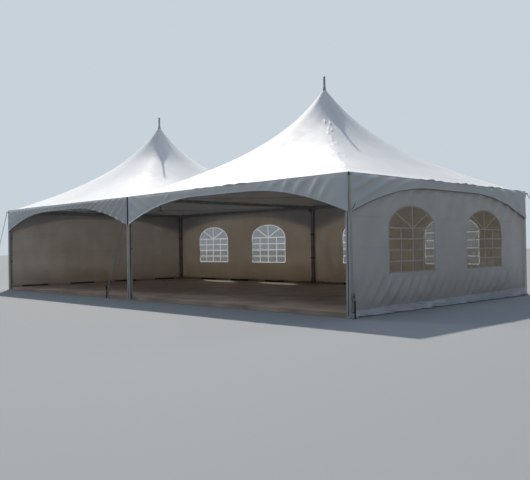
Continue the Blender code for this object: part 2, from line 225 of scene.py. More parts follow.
def ramp(value, start, end):
    """A smooth step from 0 at start to 1 at end: s^2 (3 - 2s)."""
    share = np.clip((value - start) / (end - start), 0, 1)
    return share * share * (3 - 2 * share)


print("half-way up a ramp:", ramp(0.5, 0, 1))

# %% [markdown]
# ## The camera
# The photograph was taken at eye height off the front right corner. The camera was fitted to the
# heads and feet of the posts. It is made first, so that each piece can be looked at in its view.

# %% Camera
WIDE = 530                # width of the photograph, in pixels
FOCAL = 668.7             # focal length in the same pixels
SENSOR = 36.0
YAW = -0.7948
PITCH = 0.0112
ROLL = -0.0131
EYE = (12.251, -10.914, 1.077)

forward = np.array([math.sin(YAW) * math.cos(PITCH), math.cos(YAW) * math.cos(PITCH), math.sin(PITCH)])
level = np.array([math.cos(YAW), -math.sin(YAW), 0.0])
above = np.cross(level, forward)
pose = np.eye(4)
pose[:3, 0] = math.cos(ROLL) * level + math.sin(ROLL) * above
pose[:3, 1] = -math.sin(ROLL) * level + math.cos(ROLL) * above
pose[:3, 2] = -forward
pose[:3, 3] = EYE
lens = bpy.data.cameras.new("photograph")
lens.sensor_fit = "HORIZONTAL"
lens.sensor_width = SENSOR
lens.lens = FOCAL * SENSOR / WIDE
lens.clip_end = 300
camera = bpy.data.objects.new("photograph", lens)
camera.matrix_world = Matrix(pose.tolist())
bpy.context.scene.collection.objects.link(camera)
bpy.context.scene.camera = camera
print("lens:", round(lens.lens, 2), "mm")

# %% [markdown]
# ## Nodes and colours
# Every material below is a small tree of nodes. One function turns a colour as a designer writes
# it into the linear numbers that the shader wants, one links outputs to a node's sockets, and one
# adds a node with its settings and links.

# %% Colours, links and nodes
def linear(colour):
    """An sRGB hex colour as linear red, green, blue and alpha."""
    parts = [int(colour[start:start + 2], 16) / 255 for start in (0, 2, 4)]
    return [part / 12.92 if part <= 0.04045 else ((part + 0.055) / 1.055) ** 2.4 for part in parts] + [1.0]


def link(node, **sources):
    """Join outputs to a node's sockets: i0 is its first socket, Base_Color its Base Color.

    A node given as a source stands for its first output.
    """
    for key, source in sources.items():
        socket = int(key[1:]) if key[1:].isdigit() else key.replace("_", " ")
        output = source.outputs[0] if isinstance(source, bpy.types.Node) else source
        node.id_data.links.new(output, node.inputs[socket])


def add(tree, kind, settings=None, **sources):
    """Add a node; settings set its sockets by name or number, or else its own properties."""
    made = tree.nodes.new("ShaderNode" + kind)
    for key, value in (settings or {}).items():
        if isinstance(key, int) or key in made.inputs:
            made.inputs[key].default_value = value
        else:
            setattr(made, key, value)
    link(made, **sources)
    return made


def finish(name, colour, roughness, metallic=0.0, ior=None):
    """A new material; the answer is it, its tree, its shader and the place that patterns are read at."""
    made = bpy.data.materials.new(name)
    made.use_nodes = True
    shader = made.node_tree.nodes["Principled BSDF"]
    shader.inputs["Base Color"].default_value = linear(colour)
    shader.inputs["Roughness"].default_value = roughness
    shader.inputs["Metallic"].default_value = metallic
    if ior:
        shader.inputs["IOR"].default_value = ior
    return made, made.node_tree, shader, add(made.node_tree, "TexCoord").outputs["Object"]


print("mid grey as light:", round(linear("808080")[0], 3))

# %% [markdown]
# ## Sky
# The studio's light comes mostly from above, as under an open sky, because the roof is the
# brightest thing in the photograph and the cloth under it lies in shade. The camera sees a plain
# pale backdrop instead of that dome; a Light Path node tells the two apart.

# %% Sky and backdrop
HORIZON = 0.02            # strength of the dome's light from the sides
ZENITH = 0.79             # and from straight above
BACKDROP = 0.82           # strength of the backdrop that the camera sees
world = bpy.data.worlds.new("studio")
bpy.context.scene.world = world
world.use_nodes = True
sky = world.node_tree
dome = sky.nodes["Background"]
dome.inputs["Color"].default_value = linear("BFD3EC")
towards = add(sky, "TexCoord").outputs["Generated"]
lift = add(sky, "SeparateXYZ", Vector=towards).outputs["Z"]
fall = add(sky, "MapRange",
           {"From Min": 0.25, "From Max": 1.0, "To Min": HORIZON, "To Max": ZENITH}, Value=lift)
link(dome, Strength=fall)
seen = add(sky, "Background", {"Color": linear("DAE5EF"), "Strength": BACKDROP})
ray = add(sky, "LightPath").outputs["Is Camera Ray"]
link(sky.nodes["World Output"], Surface=add(sky, "MixShader", Fac=ray, i1=dome, i2=seen))
bpy.context.scene.view_settings.view_transform = "Standard"
print("dome:", HORIZON, "to", ZENITH)

# %% [markdown]
# ## Lamps and floor
# The key light stands behind the tent on the left, as the sun does in the photograph: it makes
# the roof bright, draws the masts' shadows on it and leaves the front in shade. Three weak broad
# lights model that shade: a warm fill from the front right, one that grazes the front's pleats
# from the left, and one from behind. The floor is pale and plain.

# %% Lamps and studio floor
def broad_light(name, energy, angle, colour, heading, down):
    """A distant lamp; its light travels to heading, in degrees from +x, and falls by down degrees."""
    lamp = bpy.data.lights.new(name, "SUN")
    lamp.energy = energy
    lamp.angle = math.radians(angle)
    lamp.color = linear(colour)[:3]
    made = bpy.data.objects.new(name, lamp)
    made.rotation_euler = (math.radians(90 - down), 0, math.radians(heading - 90))
    made.location = (0, 0, 12)
    bpy.context.scene.collection.objects.link(made)
    print(name, "light:", energy)


broad_light("key", 3.5, 1.5, "FFF8EE", -32, 43)
broad_light("fill", 0.20, 30, "FFF1E0", 150, 7)
broad_light("side", 0.62, 8, "F4F7FC", 12, 20)
broad_light("back", 0.35, 14, "F4F7FC", -86, 25)

REACH = 150               # half of the studio floor's side
SUNK = -0.002             # its height, just under the tent
paper = finish("matt paper, studio floor", "96999B", 0.9)[0]
ground = bpy.data.meshes.new("studio floor")
ground_corners = [(-REACH, -REACH), (REACH, -REACH), (REACH, REACH), (-REACH, REACH)]
ground.from_pydata([(x, y, SUNK) for x, y in ground_corners], [], [(0, 1, 2, 3)])
ground.materials.append(paper)
studio_floor = bpy.data.objects.new("studio_floor", ground)
bpy.context.scene.collection.objects.link(studio_floor)

# %% [markdown]
# ## Coated cloth
# Tent cloth is woven polyester with a coat of soft PVC knifed on and lacquered. The weave is finer
# than a pixel, so it is drawn as a faint 6 mm grain; rain leaves it cloudy, the ground splashes its
# foot, and its welded seams show as slightly darker lines. A picture of cloth could be wrapped
# round it, but noise on Object coordinates has no edge and no scale of its own. Every piece sits
# at the origin, so these coordinates are the tent's own metres.

# %% Coated cloth
def blotch(tree, place, scale, low, high, detail=3.0):
    """Noise turned to a number from low to high, at a scale in cycles a metre."""
    noise = add(tree, "TexNoise", {"Scale": scale, "Detail": detail}, Vector=place)
    spread = {"From Min": 0.3, "From Max": 0.7, "To Min": low, "To Max": high}
    return add(tree, "MapRange", spread, Value=noise)


def coated_cloth(name, clean, soiled, roughness, dirt_height=0.01, seams=(), relief=0.35):
    """Soil = clouds + splashes up to dirt_height + a line 24 mm wide at each seam's height."""
    made, tree, shader, place = finish(name, clean, roughness, ior=1.5)
    height = add(tree, "SeparateXYZ", Vector=place).outputs["Z"]
    clouds = blotch(tree, place, 2.2, 0.0, 0.35)
    fading = {"From Min": 0.0, "From Max": dirt_height, "To Min": 0.55, "To Max": 0.0}
    splashes = add(tree, "MapRange", fading, Value=height)
    soil = add(tree, "Math", i0=clouds, i1=splashes)
    for seam in seams:
        band = add(tree, "Math", {"operation": "COMPARE", 1: seam, 2: 0.012}, i0=height)
        soil = add(tree, "Math", {"operation": "MULTIPLY_ADD", 1: 0.14}, i0=band, i2=soil)
    paint = add(tree, "Mix", {"data_type": "RGBA", 6: linear(clean), 7: linear(soiled)}, i0=soil)
    gloss = blotch(tree, place, 6.0, roughness - 0.02, roughness + 0.03, 1.0)
    soft = add(tree, "TexNoise", {"Scale": 5.0, "Detail": 4.0}, Vector=place)
    fine = add(tree, "TexNoise", {"Scale": 160.0, "Detail": 2.0}, Vector=place)
    grain = add(tree, "Math", {"operation": "MULTIPLY_ADD", 1: 0.05}, i0=fine, i2=soft)
    bump = add(tree, "Bump", {"Strength": relief, "Distance": 0.006}, Height=grain)
    link(shader, Base_Color=paint.outputs[2], Roughness=gloss, Normal=bump)
    return made


WELDS = (1.05, 1.54)      # heights of the seams between the widths of a wall's cloth
# White, flat and faintly satin: it takes the sun as one even field.
roof_cloth = coated_cloth("lacquered PVC cloth, roof", "F3F4F5", "DADDDF", 0.68, relief=0.04)
# Lighter cloth with enough gloss to draw each pleat; its cool grey colour, below the roof's white, is painted
# shade.
valance_cloth = coated_cloth("lacquered PVC cloth, valance", "CDD4D6", "BAC3C6", 0.50)
# Matt cloth; its warm grey colour, below the roof's white, is painted shade, and it is darker towards its
# foot.
wall_cloth = coated_cloth("matt PVC cloth, back wall", "D5D4D2", "B9B5AF", 0.60, 0.7, WELDS)
# The same for the end walls, a little greyer still as painted shade; less light goes through it, which
# darkens them inside.
end_wall_cloth = coated_cloth("matt PVC cloth, end wall", "CFCFCE", "B3AFA9", 0.60, 0.7, WELDS)
# A dull cord along each valance's arch, coloured grey-brown as a painted shadow line under the hem.
piping_painted_shadow = coated_cloth("grey-brown PVC piping, painted shadow line", "7E7771", "68615B", 0.55)
# Smoother cloth that catches the sky, muddy along the ground.
skirt_cloth = coated_cloth("glossy PVC cloth, skirt", "CED1D6", "B4B8BE", 0.40, 0.10)
# Bright strips that light shines through, with the sky behind them in the back walls.
white_strip = coated_cloth("white PVC strip", "F8F8F8", "EAECEC", 0.45)
# Thinner strips with shade behind them, which look half clear from outside.
thin_strip = coated_cloth("thin white PVC strip", "F4F5F5", "E4E6E6", 0.45)
# Rubber cord in a braided sleeve: a dull black line.
black_cord = coated_cloth("black elastic cord", "23221F", "35322E", 0.70)
print("cloths:", len(bpy.data.materials))

# %% [markdown]
# ## Light through cloth
# The sun shines into the cloth and out on its other side, which is why a white tent is bright
# inside. Subsurface scattering gives this on a thin shell: its scale is how deep the light goes,
# in metres, and its radius tints what comes through, warm for the walls.

# %% Light through cloth
glow = (
    (roof_cloth, (1.0, 0.95, 0.90), 0.0008), (wall_cloth, (1.0, 0.90, 0.80), 0.0030),
    (end_wall_cloth, (1.0, 0.95, 0.90), 0.0024), (skirt_cloth, (1.0, 0.90, 0.80), 0.0026),
    (white_strip, (1.0, 1.0, 1.0), 0.05), (thin_strip, (1.0, 1.0, 1.0), 0.012),
)
for cloth, radius, scale in glow:
    through = cloth.node_tree.nodes["Principled BSDF"].inputs
    through["Subsurface Weight"].default_value = 1.0
    through["Subsurface Radius"].default_value = radius
    through["Subsurface Scale"].default_value = scale
thin_strip.node_tree.nodes["Principled BSDF"].inputs["Alpha"].default_value = 0.45
print("cloths that light passes through:", len(glow))

# %% [markdown]
# ## Window film
# The windows are clear PVC rolled out in a calender: glossy and never quite flat; each film's tint is painted
# light from what lies behind it.
# A glass shader would bend light as a thick block does, so the film is a plain glossy sheet with
# some of its alpha taken away, and long soft waves bend its reflections.

# %% Window film
def clear_film(name, colour, alpha):
    """A glossy see-through sheet with waves about 0.25 m long."""
    made, tree, shader, place = finish(name, colour, 0.12, ior=1.5)
    shader.inputs["Alpha"].default_value = alpha
    wave = add(tree, "TexNoise", {"Scale": 4.0, "Detail": 2.0}, Vector=place)
    bump = add(tree, "Bump", {"Strength": 0.5, "Distance": 0.02}, Height=wave)
    link(shader, Normal=bump)
    return made


# Cool and pale: a painted tint of the sky that shines through it.
back_film = clear_film("clear PVC film, back", "8A9290", 0.44)
# Warm brown: a painted tint of the dark, warm inside of the tent that lies behind it.
end_film = clear_film("clear PVC film, end", "A3997F", 0.34)
print("films:", back_film.name, "and", end_film.name)

# %% [markdown]
# ## Metals
# Posts, beams and masts are drawn through a die, which leaves fine lines along them, and then
# anodised to a matt satin. The stretch gives the lines' cycles a metre along x, y and z; they are
# drawn 11 mm apart, far coarser than real ones, so that they show. In shade the anodised skin
# looks more like grey paint than like a mirror, so its metallic value is low.

# %% Drawn metals
def drawn_metal(name, colour, worn, roughness, stretch, metallic):
    """Fine lines along the length set the roughness and relief; clouds of wear set the colour."""
    made, tree, shader, place = finish(name, colour, roughness, metallic)
    scaled = add(tree, "Mapping", {"Scale": stretch}, Vector=place)
    lines = add(tree, "TexNoise", {"Scale": 1.0, "Detail": 3.0}, Vector=scaled)
    wear = blotch(tree, place, 6.0, 0.0, 0.6)
    paint = add(tree, "Mix", {"data_type": "RGBA", 6: linear(colour), 7: linear(worn)}, i0=wear)
    gloss = add(tree, "MapRange", {"To Min": roughness - 0.08, "To Max": roughness + 0.12}, Value=lines)
    bump = add(tree, "Bump", {"Strength": 0.15, "Distance": 0.001}, Height=lines)
    link(shader, Base_Color=paint.outputs[2], Roughness=gloss, Normal=bump)
    return made


# Satin grey with upright lines, for the masts.
aluminium = drawn_metal("anodised aluminium", "AEB6BE", "8F9498", 0.50, (90, 90, 1.5), 0.25)
# The same metal after years outdoors, dull and with level lines.
beam_aluminium = drawn_metal("weathered aluminium beam", "AAABAA", "8A8B8A", 0.60, (3, 3, 90), 0.3)
# Hot-dipped zinc: a cloudy grey that glints.
galvanised = drawn_metal("galvanised steel", "9A9DA0", "6F7376", 0.48, (60, 60, 60), 0.9)
# Thick brown-black paint, scraped along its length.
black_steel = drawn_metal("painted black steel", "35322F", "4E4843", 0.60, (40, 40, 10), 0.1)
print("finishes so far:", len(bpy.data.materials))

# %% [markdown]
# ## Posts with grooves
# A marquee post has a groove down each face, in which the walls' beaded edges slide. Cutting it
# into the mesh would change the solid, so its shade is painted: dark where x or y is within 8 mm
# of a post's middle line. The outer faces behind the valances are painted dark too, as painted shade.

# %% Slotted posts
GROOVE_HALF = 0.008
GROOVE_MIDDLE = 1.065     # height of the groove's middle
GROOVE_REACH = 1.045      # and how far it runs up and down from there
SHADE_BAND_FROM = 1.60          # height that the painted shade band starts at
FACE = 0.03               # beyond this distance from the middle line a point is on the outer face


def slotted_post():
    """Painted shade, dark grey = (near a middle line and within the groove's heights) or (high and on an
    outer face).
    """
    made = drawn_metal("anodised aluminium post", "CBCDCC", "A6A9A9", 0.52, (90, 90, 1.5), 0.2)
    tree = made.node_tree
    shader = tree.nodes["Principled BSDF"]
    axes = add(tree, "SeparateXYZ", Vector=add(tree, "TexCoord").outputs["Object"]).outputs
    x = add(tree, "Math", {"operation": "ABSOLUTE"}, i0=axes["X"])
    y = add(tree, "Math", {"operation": "ABSOLUTE"}, i0=axes["Y"])

    def greatest(operation, tests):
        """The greatest answer of some tests, each a distance and the numbers to test it with."""
        best = None
        for distance, first, second in tests:
            answer = add(tree, "Math", {"operation": operation, 1: first, 2: second}, i0=distance)
            best = add(tree, "Math", {"operation": "MAXIMUM"}, i0=best, i1=answer) if best else answer
        return best

    middles = [(y, POST_LINE, GROOVE_HALF), (x, 0.0, GROOVE_HALF), (x, END_LINE, GROOVE_HALF)]
    near = greatest("COMPARE", middles)
    within = greatest("COMPARE", [(axes["Z"], GROOVE_MIDDLE, GROOVE_REACH)])
    outer = greatest("GREATER_THAN", [(x, END_LINE + FACE, 0), (y, POST_LINE + FACE, 0)])
    high = greatest("GREATER_THAN", [(axes["Z"], SHADE_BAND_FROM, 0)])
    groove = add(tree, "Math", {"operation": "MULTIPLY"}, i0=near, i1=within)
    shade_band = add(tree, "Math", {"operation": "MULTIPLY"}, i0=high, i1=outer)
    black = add(tree, "Math", {"operation": "MAXIMUM"}, i0=groove, i1=shade_band)
    metal = shader.inputs["Base Color"].links[0].from_socket
    # Painted shade: the grooves and the high outer faces behind the valances are mixed to dark grey.
    paint = add(tree, "Mix", {"data_type": "RGBA", 7: linear("3A3C3E")}, i0=black, i6=metal)
    link(shader, Base_Color=paint.outputs[2])
    return made


# Light satin grey, with a painted shade line down each face and painted shade high on the outer faces.
post_metal = slotted_post()
print("post groove:", 2000 * GROOVE_HALF, "mm wide")

# %% [markdown]
# ## Webbing and plywood
# The straps are polyester webbing, woven with cross ribs. Their pattern has to follow the strap, so
# it reads the strap's own UV map in metres. The floor is plywood faced with a brown phenolic film,
# satin when new and scuffed pale by shoes and trolleys.

# %% Webbing and plywood
def woven_webbing(name, colour, dark):
    """Ribs 6 mm apart, twice as coarse as real ones so that they show: waves along the UV's v."""
    made, tree, shader, place = finish(name, colour, 0.75)
    strap_uv = place.node.outputs["UV"]
    bands = {"bands_direction": "Y", "Scale": 52.0, "Distortion": 0.6}
    ribs = add(tree, "TexWave", bands, Vector=strap_uv).outputs["Fac"]
    paint = add(tree, "Mix", {"data_type": "RGBA", 6: linear(dark), 7: linear(colour)}, i0=ribs)
    bump = add(tree, "Bump", {"Strength": 0.6, "Distance": 0.0008}, Height=ribs)
    link(shader, Base_Color=paint.outputs[2], Normal=bump)
    return made


def faced_plywood(name, film, scuffed):
    """Clouds of wear set the colour and the gloss; 17 mm scuffs give a slight relief."""
    made, tree, shader, place = finish(name, film, 0.42, ior=1.55)
    wear = blotch(tree, place, 1.3, 0.0, 1.0, 2.5)
    paint = add(tree, "Mix", {"data_type": "RGBA", 6: linear(film), 7: linear(scuffed)}, i0=wear)
    gloss = blotch(tree, place, 2.0, 0.36, 0.48, 2.0)
    scuffs = add(tree, "TexNoise", {"Scale": 60.0, "Detail": 1.0}, Vector=place)
    bump = add(tree, "Bump", {"Strength": 0.04, "Distance": 0.0004}, Height=scuffs)
    link(shader, Base_Color=paint.outputs[2], Roughness=gloss, Normal=bump)
    return made


# Dull ribbed grey.
webbing = woven_webbing("grey polyester webbing", "C4C5BF", "94958F")
# Warm brown with a soft sheen, which mirrors a little of the windows' light.
plywood = faced_plywood("film-faced plywood", "AE9683", "D8C0AA")
print("finishes:", len(bpy.data.materials))

# %% [markdown]
# ## The canopies
# The real roof is one welded sheet to a bay, pushed up by the mast into a point. Its level lines
# are round near the mast and square at the eave. Cloth simulation could stretch a sheet over the
# mast, but it wouldn't meet the solid, so the roof is a formula with two parameters: the share of
# the way down from the mast, and the point of the rim that the line runs to.

# %% Smooth roof
RISE = 2.26               # from the eave to where the roof's slope meets the mast's axis
APEX = EAVE + RISE
CONE_RADIUS = 1.80        # radius of the cone that the roof is near the mast
SPREAD = 2.54             # how late the cone opens to the square rim
AROUND = 496              # points round the rim
DOWN = 90                 # and from the mast to the rim


def rim(count):
    """Points round the square rim, with the same number on each side, first corner at +x +y."""
    corner = np.array([[HALF_BAY, OUTER], [-HALF_BAY, OUTER], [-HALF_BAY, -OUTER], [HALF_BAY, -OUTER]])
    place = 4 * np.arange(count) / count
    side = place.astype(int)
    share = (place - side)[:, None]
    return corner[side] * (1 - share) + corner[(side + 1) % 4] * share


def canopy_shape(share, edge):
    """Plan = share x cone + share^SPREAD x (edge - cone); height falls evenly with the share."""
    share = share[:, None, None]
    cone = CONE_RADIUS * unit(edge)[None]
    plan = share * cone + share ** SPREAD * (edge[None] - cone)
    height = np.broadcast_to(APEX - RISE * share, plan.shape[:2] + (1,))
    return np.concatenate([plan, height], axis=-1)


print("roof grid:", AROUND, "by", DOWN)

# %% [markdown]
# ## Buckles, folds and soft hips
# Over the hips of the roof the cloth is bent two ways at once, so it can't lie flat: it rounds the
# corner softly and throws up small oval buckles. A few folds run down from the mast's cuff. Each
# is a bump with a formula, added to the smooth roof; a sculpted mesh couldn't be changed so easily.

# %% Hips and folds
HIP_WIDTH = 0.17          # w in the formula of a hip's rounding
BUCKLES = 23              # buckles down a hip
FIRST_BUCKLE = 0.40       # distance of the first from the mast's axis
BUCKLE_STEP = 0.14        # and from one to the next
BUCKLE_LONG = 0.058       # size of a buckle down the hip
BUCKLE_WIDE = 0.022       # and across it


def hip_buckles(x, y, seed, side):
    """Sum of bells exp(-(along / long)^2 - (across / wide)^2), strongest on the outer front hip."""
    chance = np.random.default_rng(seed)
    total = np.zeros(x.shape)
    for sign_x in (-1, 1):
        for sign_y in (-1, 1):
            along = (sign_x * x + sign_y * y) / math.sqrt(2)
            across = (sign_x * x - sign_y * y) / math.sqrt(2)
            strength = 1.0 if sign_x == side and sign_y < 0 else 0.2
            for number in range(BUCKLES):
                centre = FIRST_BUCKLE + BUCKLE_STEP * number + chance.uniform(-0.06, 0.06)
                beside = chance.normal(0, 0.055)
                size = chance.uniform(0.6, 1.0) * strength
                lean = chance.uniform(-0.4, 0.4)
                drift = (across - beside) + lean * (along - centre)
                total += size * np.exp(-((along - centre) / BUCKLE_LONG) ** 2 - (drift / BUCKLE_WIDE) ** 2)
    return total


def canopy_folds(points, seed, side):
    """Height above the smooth roof: buckles, thirteen folds round the cuff, and broad unevenness."""
    x = points[..., 0]
    y = points[..., 1]
    from_mast = np.hypot(x, y)
    angle = np.arctan2(y, x)
    top_fold = np.sin(13 * angle + 2 * np.sin(2 * angle) + seed)
    folds = 0.015 * hip_buckles(x, y, seed, side)
    folds += 0.002 * top_fold * np.exp(-((from_mast - 0.42) / 0.25) ** 2)
    folds += 0.005 * ripple(x, y, 1.1, seed) * ramp(from_mast, 0.3, 1.2)
    inset = np.minimum(OUTER - np.abs(y), HALF_BAY - np.abs(x))
    return folds * ramp(inset, 0.0, 0.10)


def hip_rounding(points, share):
    """Height lost where a hip is rounded: slope across x (sqrt(a^2 + w^2) - a), a metres from the hip."""
    x = np.abs(points[..., 0])
    y = np.abs(points[..., 1])
    across = np.abs(x - y) / math.sqrt(2)
    corner = math.hypot(HALF_BAY, OUTER)
    spread = share ** SPREAD
    squareness = corner * spread / (CONE_RADIUS * share + (corner - CONE_RADIUS) * spread)
    slope = RISE / (CONE_RADIUS + SPREAD * spread / share * (corner - CONE_RADIUS)) * squareness
    inset = np.minimum(OUTER - y, HALF_BAY - x)
    return slope[:, None] * (np.hypot(across, HIP_WIDTH) - across) * ramp(inset, 0.0, 0.15)


print("last buckle of a hip:", round(FIRST_BUCKLE + (BUCKLES - 1) * BUCKLE_STEP, 2), "m from the mast")

# %% [markdown]
# ## Puffs along the eave
# The roof's edge is laced over the beams every 31 cm, and the wind lifts the cloth between the
# laces, more over some stretches than over others. The lobes lean, because the cloth is pulled
# sideways too. The valances hang from the same line, so they use the same formula.

# %% Eave puffs
LACING = 0.31             # distance between the points where the roof is laced to the beam
puffed = {                # where each side's eave puffs up most: from, to, and how far in metres
    "front_right": (2.3, 3.9, 0.026), "front_left": (-5.0, -3.6, 0.008), "right": (-1.05, 1.9, 0.030),
    "left": (-1.5, 1.0, 0.012), "back_right": (1.5, 3.0, 0.010), "back_left": (-4.0, -2.5, 0.010),
}


def eave_puff(side, run):
    """Lobe = sin(pi share^1.5)^0.8 between two laces, strongest over the stretch given for the side."""
    low, high, strength = puffed[side]
    within = ramp(run, low - 0.3, low + 0.3) * ramp(-run, -high - 0.3, -high + 0.3)
    uneven = 0.65 + 0.35 * np.sin(5.3 * run + low)
    share = (run / LACING + 0.15 * np.sin(2.7 * run)) % 1.0
    return strength * (0.12 + within) * uneven * np.sin(np.pi * share ** 1.5) ** 0.8


def puff_field(x, y, side):
    """Puffs as moves: outwards in a bell 3 cm in from the edge, upwards dying out over 12 cm."""
    hand = "right" if side > 0 else "left"
    run = x + side * MAST_X
    near_end = np.clip(HALF_BAY - x * side, 0, None)
    near_long = np.clip(OUTER - np.abs(y), 0, None)
    corner = ramp(near_end, 0.05, 0.35) * ramp(HALF_BAY + x * side, 0.05, 0.35)
    long_puff = np.where(y < 0, eave_puff(f"front_{hand}", run), eave_puff(f"back_{hand}", run)) * corner
    end_puff = eave_puff(hand, y) * ramp(near_long, 0.05, 0.35)
    rise = long_puff * np.exp(-near_long / 0.12) + end_puff * np.exp(-near_end / 0.12)
    out_x = side * 1.5 * end_puff * np.exp(-((near_end - 0.03) / 0.04) ** 2)
    out_y = np.sign(y) * 1.5 * long_puff * np.exp(-((near_long - 0.03) / 0.04) ** 2)
    return np.stack([out_x, out_y, 0.5 * rise], axis=-1)


print("sides with puffs:", len(puffed))

# %% [markdown]
# ## Two roofs
# The parts of the formula are added up for both bays. Rows lie closer together towards the eave,
# where the puffs are small. The sheet's real size is 6.9 m each way up the slope.

# %% Canopies
HOLE = 0.027              # radius of the hole that the mast's tip passes through
GIRTH = 24                # rim's length and the slope's length, for the cloth's UV
SLOPE = 3.9


def canopy(name, node, side, seed):
    """Smooth roof + folds upwards and half as far outwards + puffs - the hips' rounding."""
    hole = HOLE / CONE_RADIUS
    fall = np.linspace(0, 1, DOWN)
    share = hole + (1 - hole) * (1 - (1 - fall) ** 1.35)
    points = canopy_shape(share, rim(AROUND))
    folds = canopy_folds(points, seed, side) * ramp(share, 0.05, 0.12)[:, None]
    outward = np.concatenate([unit(points[..., :2]), np.zeros(folds.shape + (1,))], axis=-1)
    puffs = puff_field(points[..., 0], points[..., 1], side)
    rounding = hip_rounding(points, share)
    points = points + folds[..., None] * (UP + 0.5 * outward) + puffs
    points[..., 2] -= rounding
    points = points + np.array([side * MAST_X, 0, 0])
    uv = np.stack(np.meshgrid(np.linspace(0, GIRTH, AROUND), np.linspace(0, SLOPE, DOWN)), axis=-1)
    made = piece(name, [(points, grid_faces(DOWN, AROUND, ring=True))], roof_cloth, node, [node],
                 uv=uv, thick=CLOTH, offset=-1)


canopy("roof_cloth_right", "canopy_right", 1, 3)
canopy("roof_cloth_left", "canopy_left", -1, 8)

# %% [markdown]
# ## Sides of the tent
# Valances, walls and windows all lie in upright planes, so each is worked out as distances along
# the side, outwards and up, and one function turns these into places in the tent.

# %% Places on a side
def place_on(side, line):
    """A function from (run, out, height) to x, y, z for one side, whose cloth hangs on a line."""
    def place(run, out, height):
        """Run goes along the side, line + out away from the tent's middle, height up."""
        run, out, height = np.broadcast_arrays(run, out, height)
        away = -(line + out) if side in ("front", "left") else line + out
        return np.stack([run, away, height] if side in ("front", "back") else [away, run, height], axis=-1)
    return place


def post_line(side):
    """Distance of a side's posts from the tent's middle."""
    return POST_LINE if side in ("front", "back") else END_LINE


def facing(side, faces):
    """Faces turned so that they look out of the tent."""
    return faces[:, ::-1] if side in ("front", "right") else faces


def nearest_post(run, first, second):
    """Distance from the nearer of two posts."""
    return np.minimum(run - first, second - run)


print("a place on the right side:", place_on("right", BAY)(1.0, 0.1, 2.0).tolist())

# %% [markdown]
# ## Folds of the valances
# Each side has a valance, a strip whose lower edge arches up between the posts. A tight one is
# nearly flat; a slack one hangs in slanting pleats that start at its posts. A pleat is a ridged
# wave whose phase moves along as the height grows, and the slant may change from post to post.

# %% Folds of the valances
def slanting(run, height, length, lean, start=0.0):
    """Ridges a length apart from 0 to 1, leaning by lean metres along for each metre up."""
    wave = 0.5 + 0.5 * np.cos(2 * np.pi * (run - lean * (height - EAVE)) / length + start)
    return wave ** 1.7


def pleated(run, height):
    """Pleats 58 mm deep that lean over more away from the middle post, and fade at the corner."""
    lean = 0.7 + 1.9 * ramp(-run, 0.0, 2.2) - 4.2 * ramp(-run, 3.8, 5.6)
    strength = 0.45 + 0.55 * ramp(run, -4.2, -1.8)
    uneven = 1.1 * np.sin(1.7 * run) + 0.8 * ripple(run, 0.3 * height, 0.7, 22)
    wave = slanting(run, height, 0.235, lean, uneven)
    return 0.058 * strength * wave + 0.008 * (1 + ripple(run, height, 0.8, 21))


def eased(run, height):
    """Soft folds at both posts, one short crease between them, and slight unevenness."""
    near_corner = ramp(run, 3.6, 4.6) * ramp(-run, -5.9, -5.3)
    near_middle = ramp(-run, -1.9, -0.6)
    uneven = 0.8 * np.sin(2.1 * run) + 2.2 * ripple(run, 0.3 * height, 0.7, 14)
    folds = 0.018 * near_corner * slanting(run, height, 0.32, 0.9, uneven)
    folds = folds + 0.020 * near_middle * slanting(run, height, 0.42, -1.6, 0.9)
    crease = np.exp(-((run - 1.45 - 1.2 * (height - 2.12)) / 0.035) ** 2 - ((height - 2.12) / 0.05) ** 2)
    return folds + 0.020 * crease + 0.006 * (1 + ripple(run, height, 1.2, 5))


def corner_folds(run, height):
    """Folds that rise from the low tips of an end valance towards the middle of the eave."""
    near_post = ramp(np.abs(run), 0.7, 2.0)
    lean = np.where(run < 0, 2.2, -0.9)
    wave = slanting(run, height, 0.46, lean, 0.9 * np.sin(1.4 * run))
    return np.where(run < 0, 0.036, 0.065) * near_post * wave + 0.008 * (1 + ripple(run, height, 0.9, 9))


def mirrored(folds):
    """The same folds on the other bay."""
    return lambda run, height: folds(-run, height)


print("a pleat is", round(float(pleated(np.array(-1.0), np.array(2.0))), 3), "m deep at one place")

# %% [markdown]
# ## Valances
# The arch is a parabola that starts 2.3 m from each post. The lowest 24 mm are turned up and
# welded to a hem, so they stand out by a second thickness; a cord along the edge is coloured dark as
# the hem's painted shadow line. The pleats die out at the eave and at the posts, where the cloth is held.

# %% Valances
VALANCE_TOP = 2.1983
DEEP = 0.62               # depth of a valance at its posts
SHALLOW = 0.15            # and in the middle of its arch
ARCH_RUN = 2.30
HEM = 0.024
FOLD = 0.0006             # distance over which the hem's doubled cloth ends
MIDDLE_GAP = 0.025        # gap beside the middle post
CORNER_GAP = 0.018        # and beside a corner post
PIPING = 0.0065           # radius of the piping


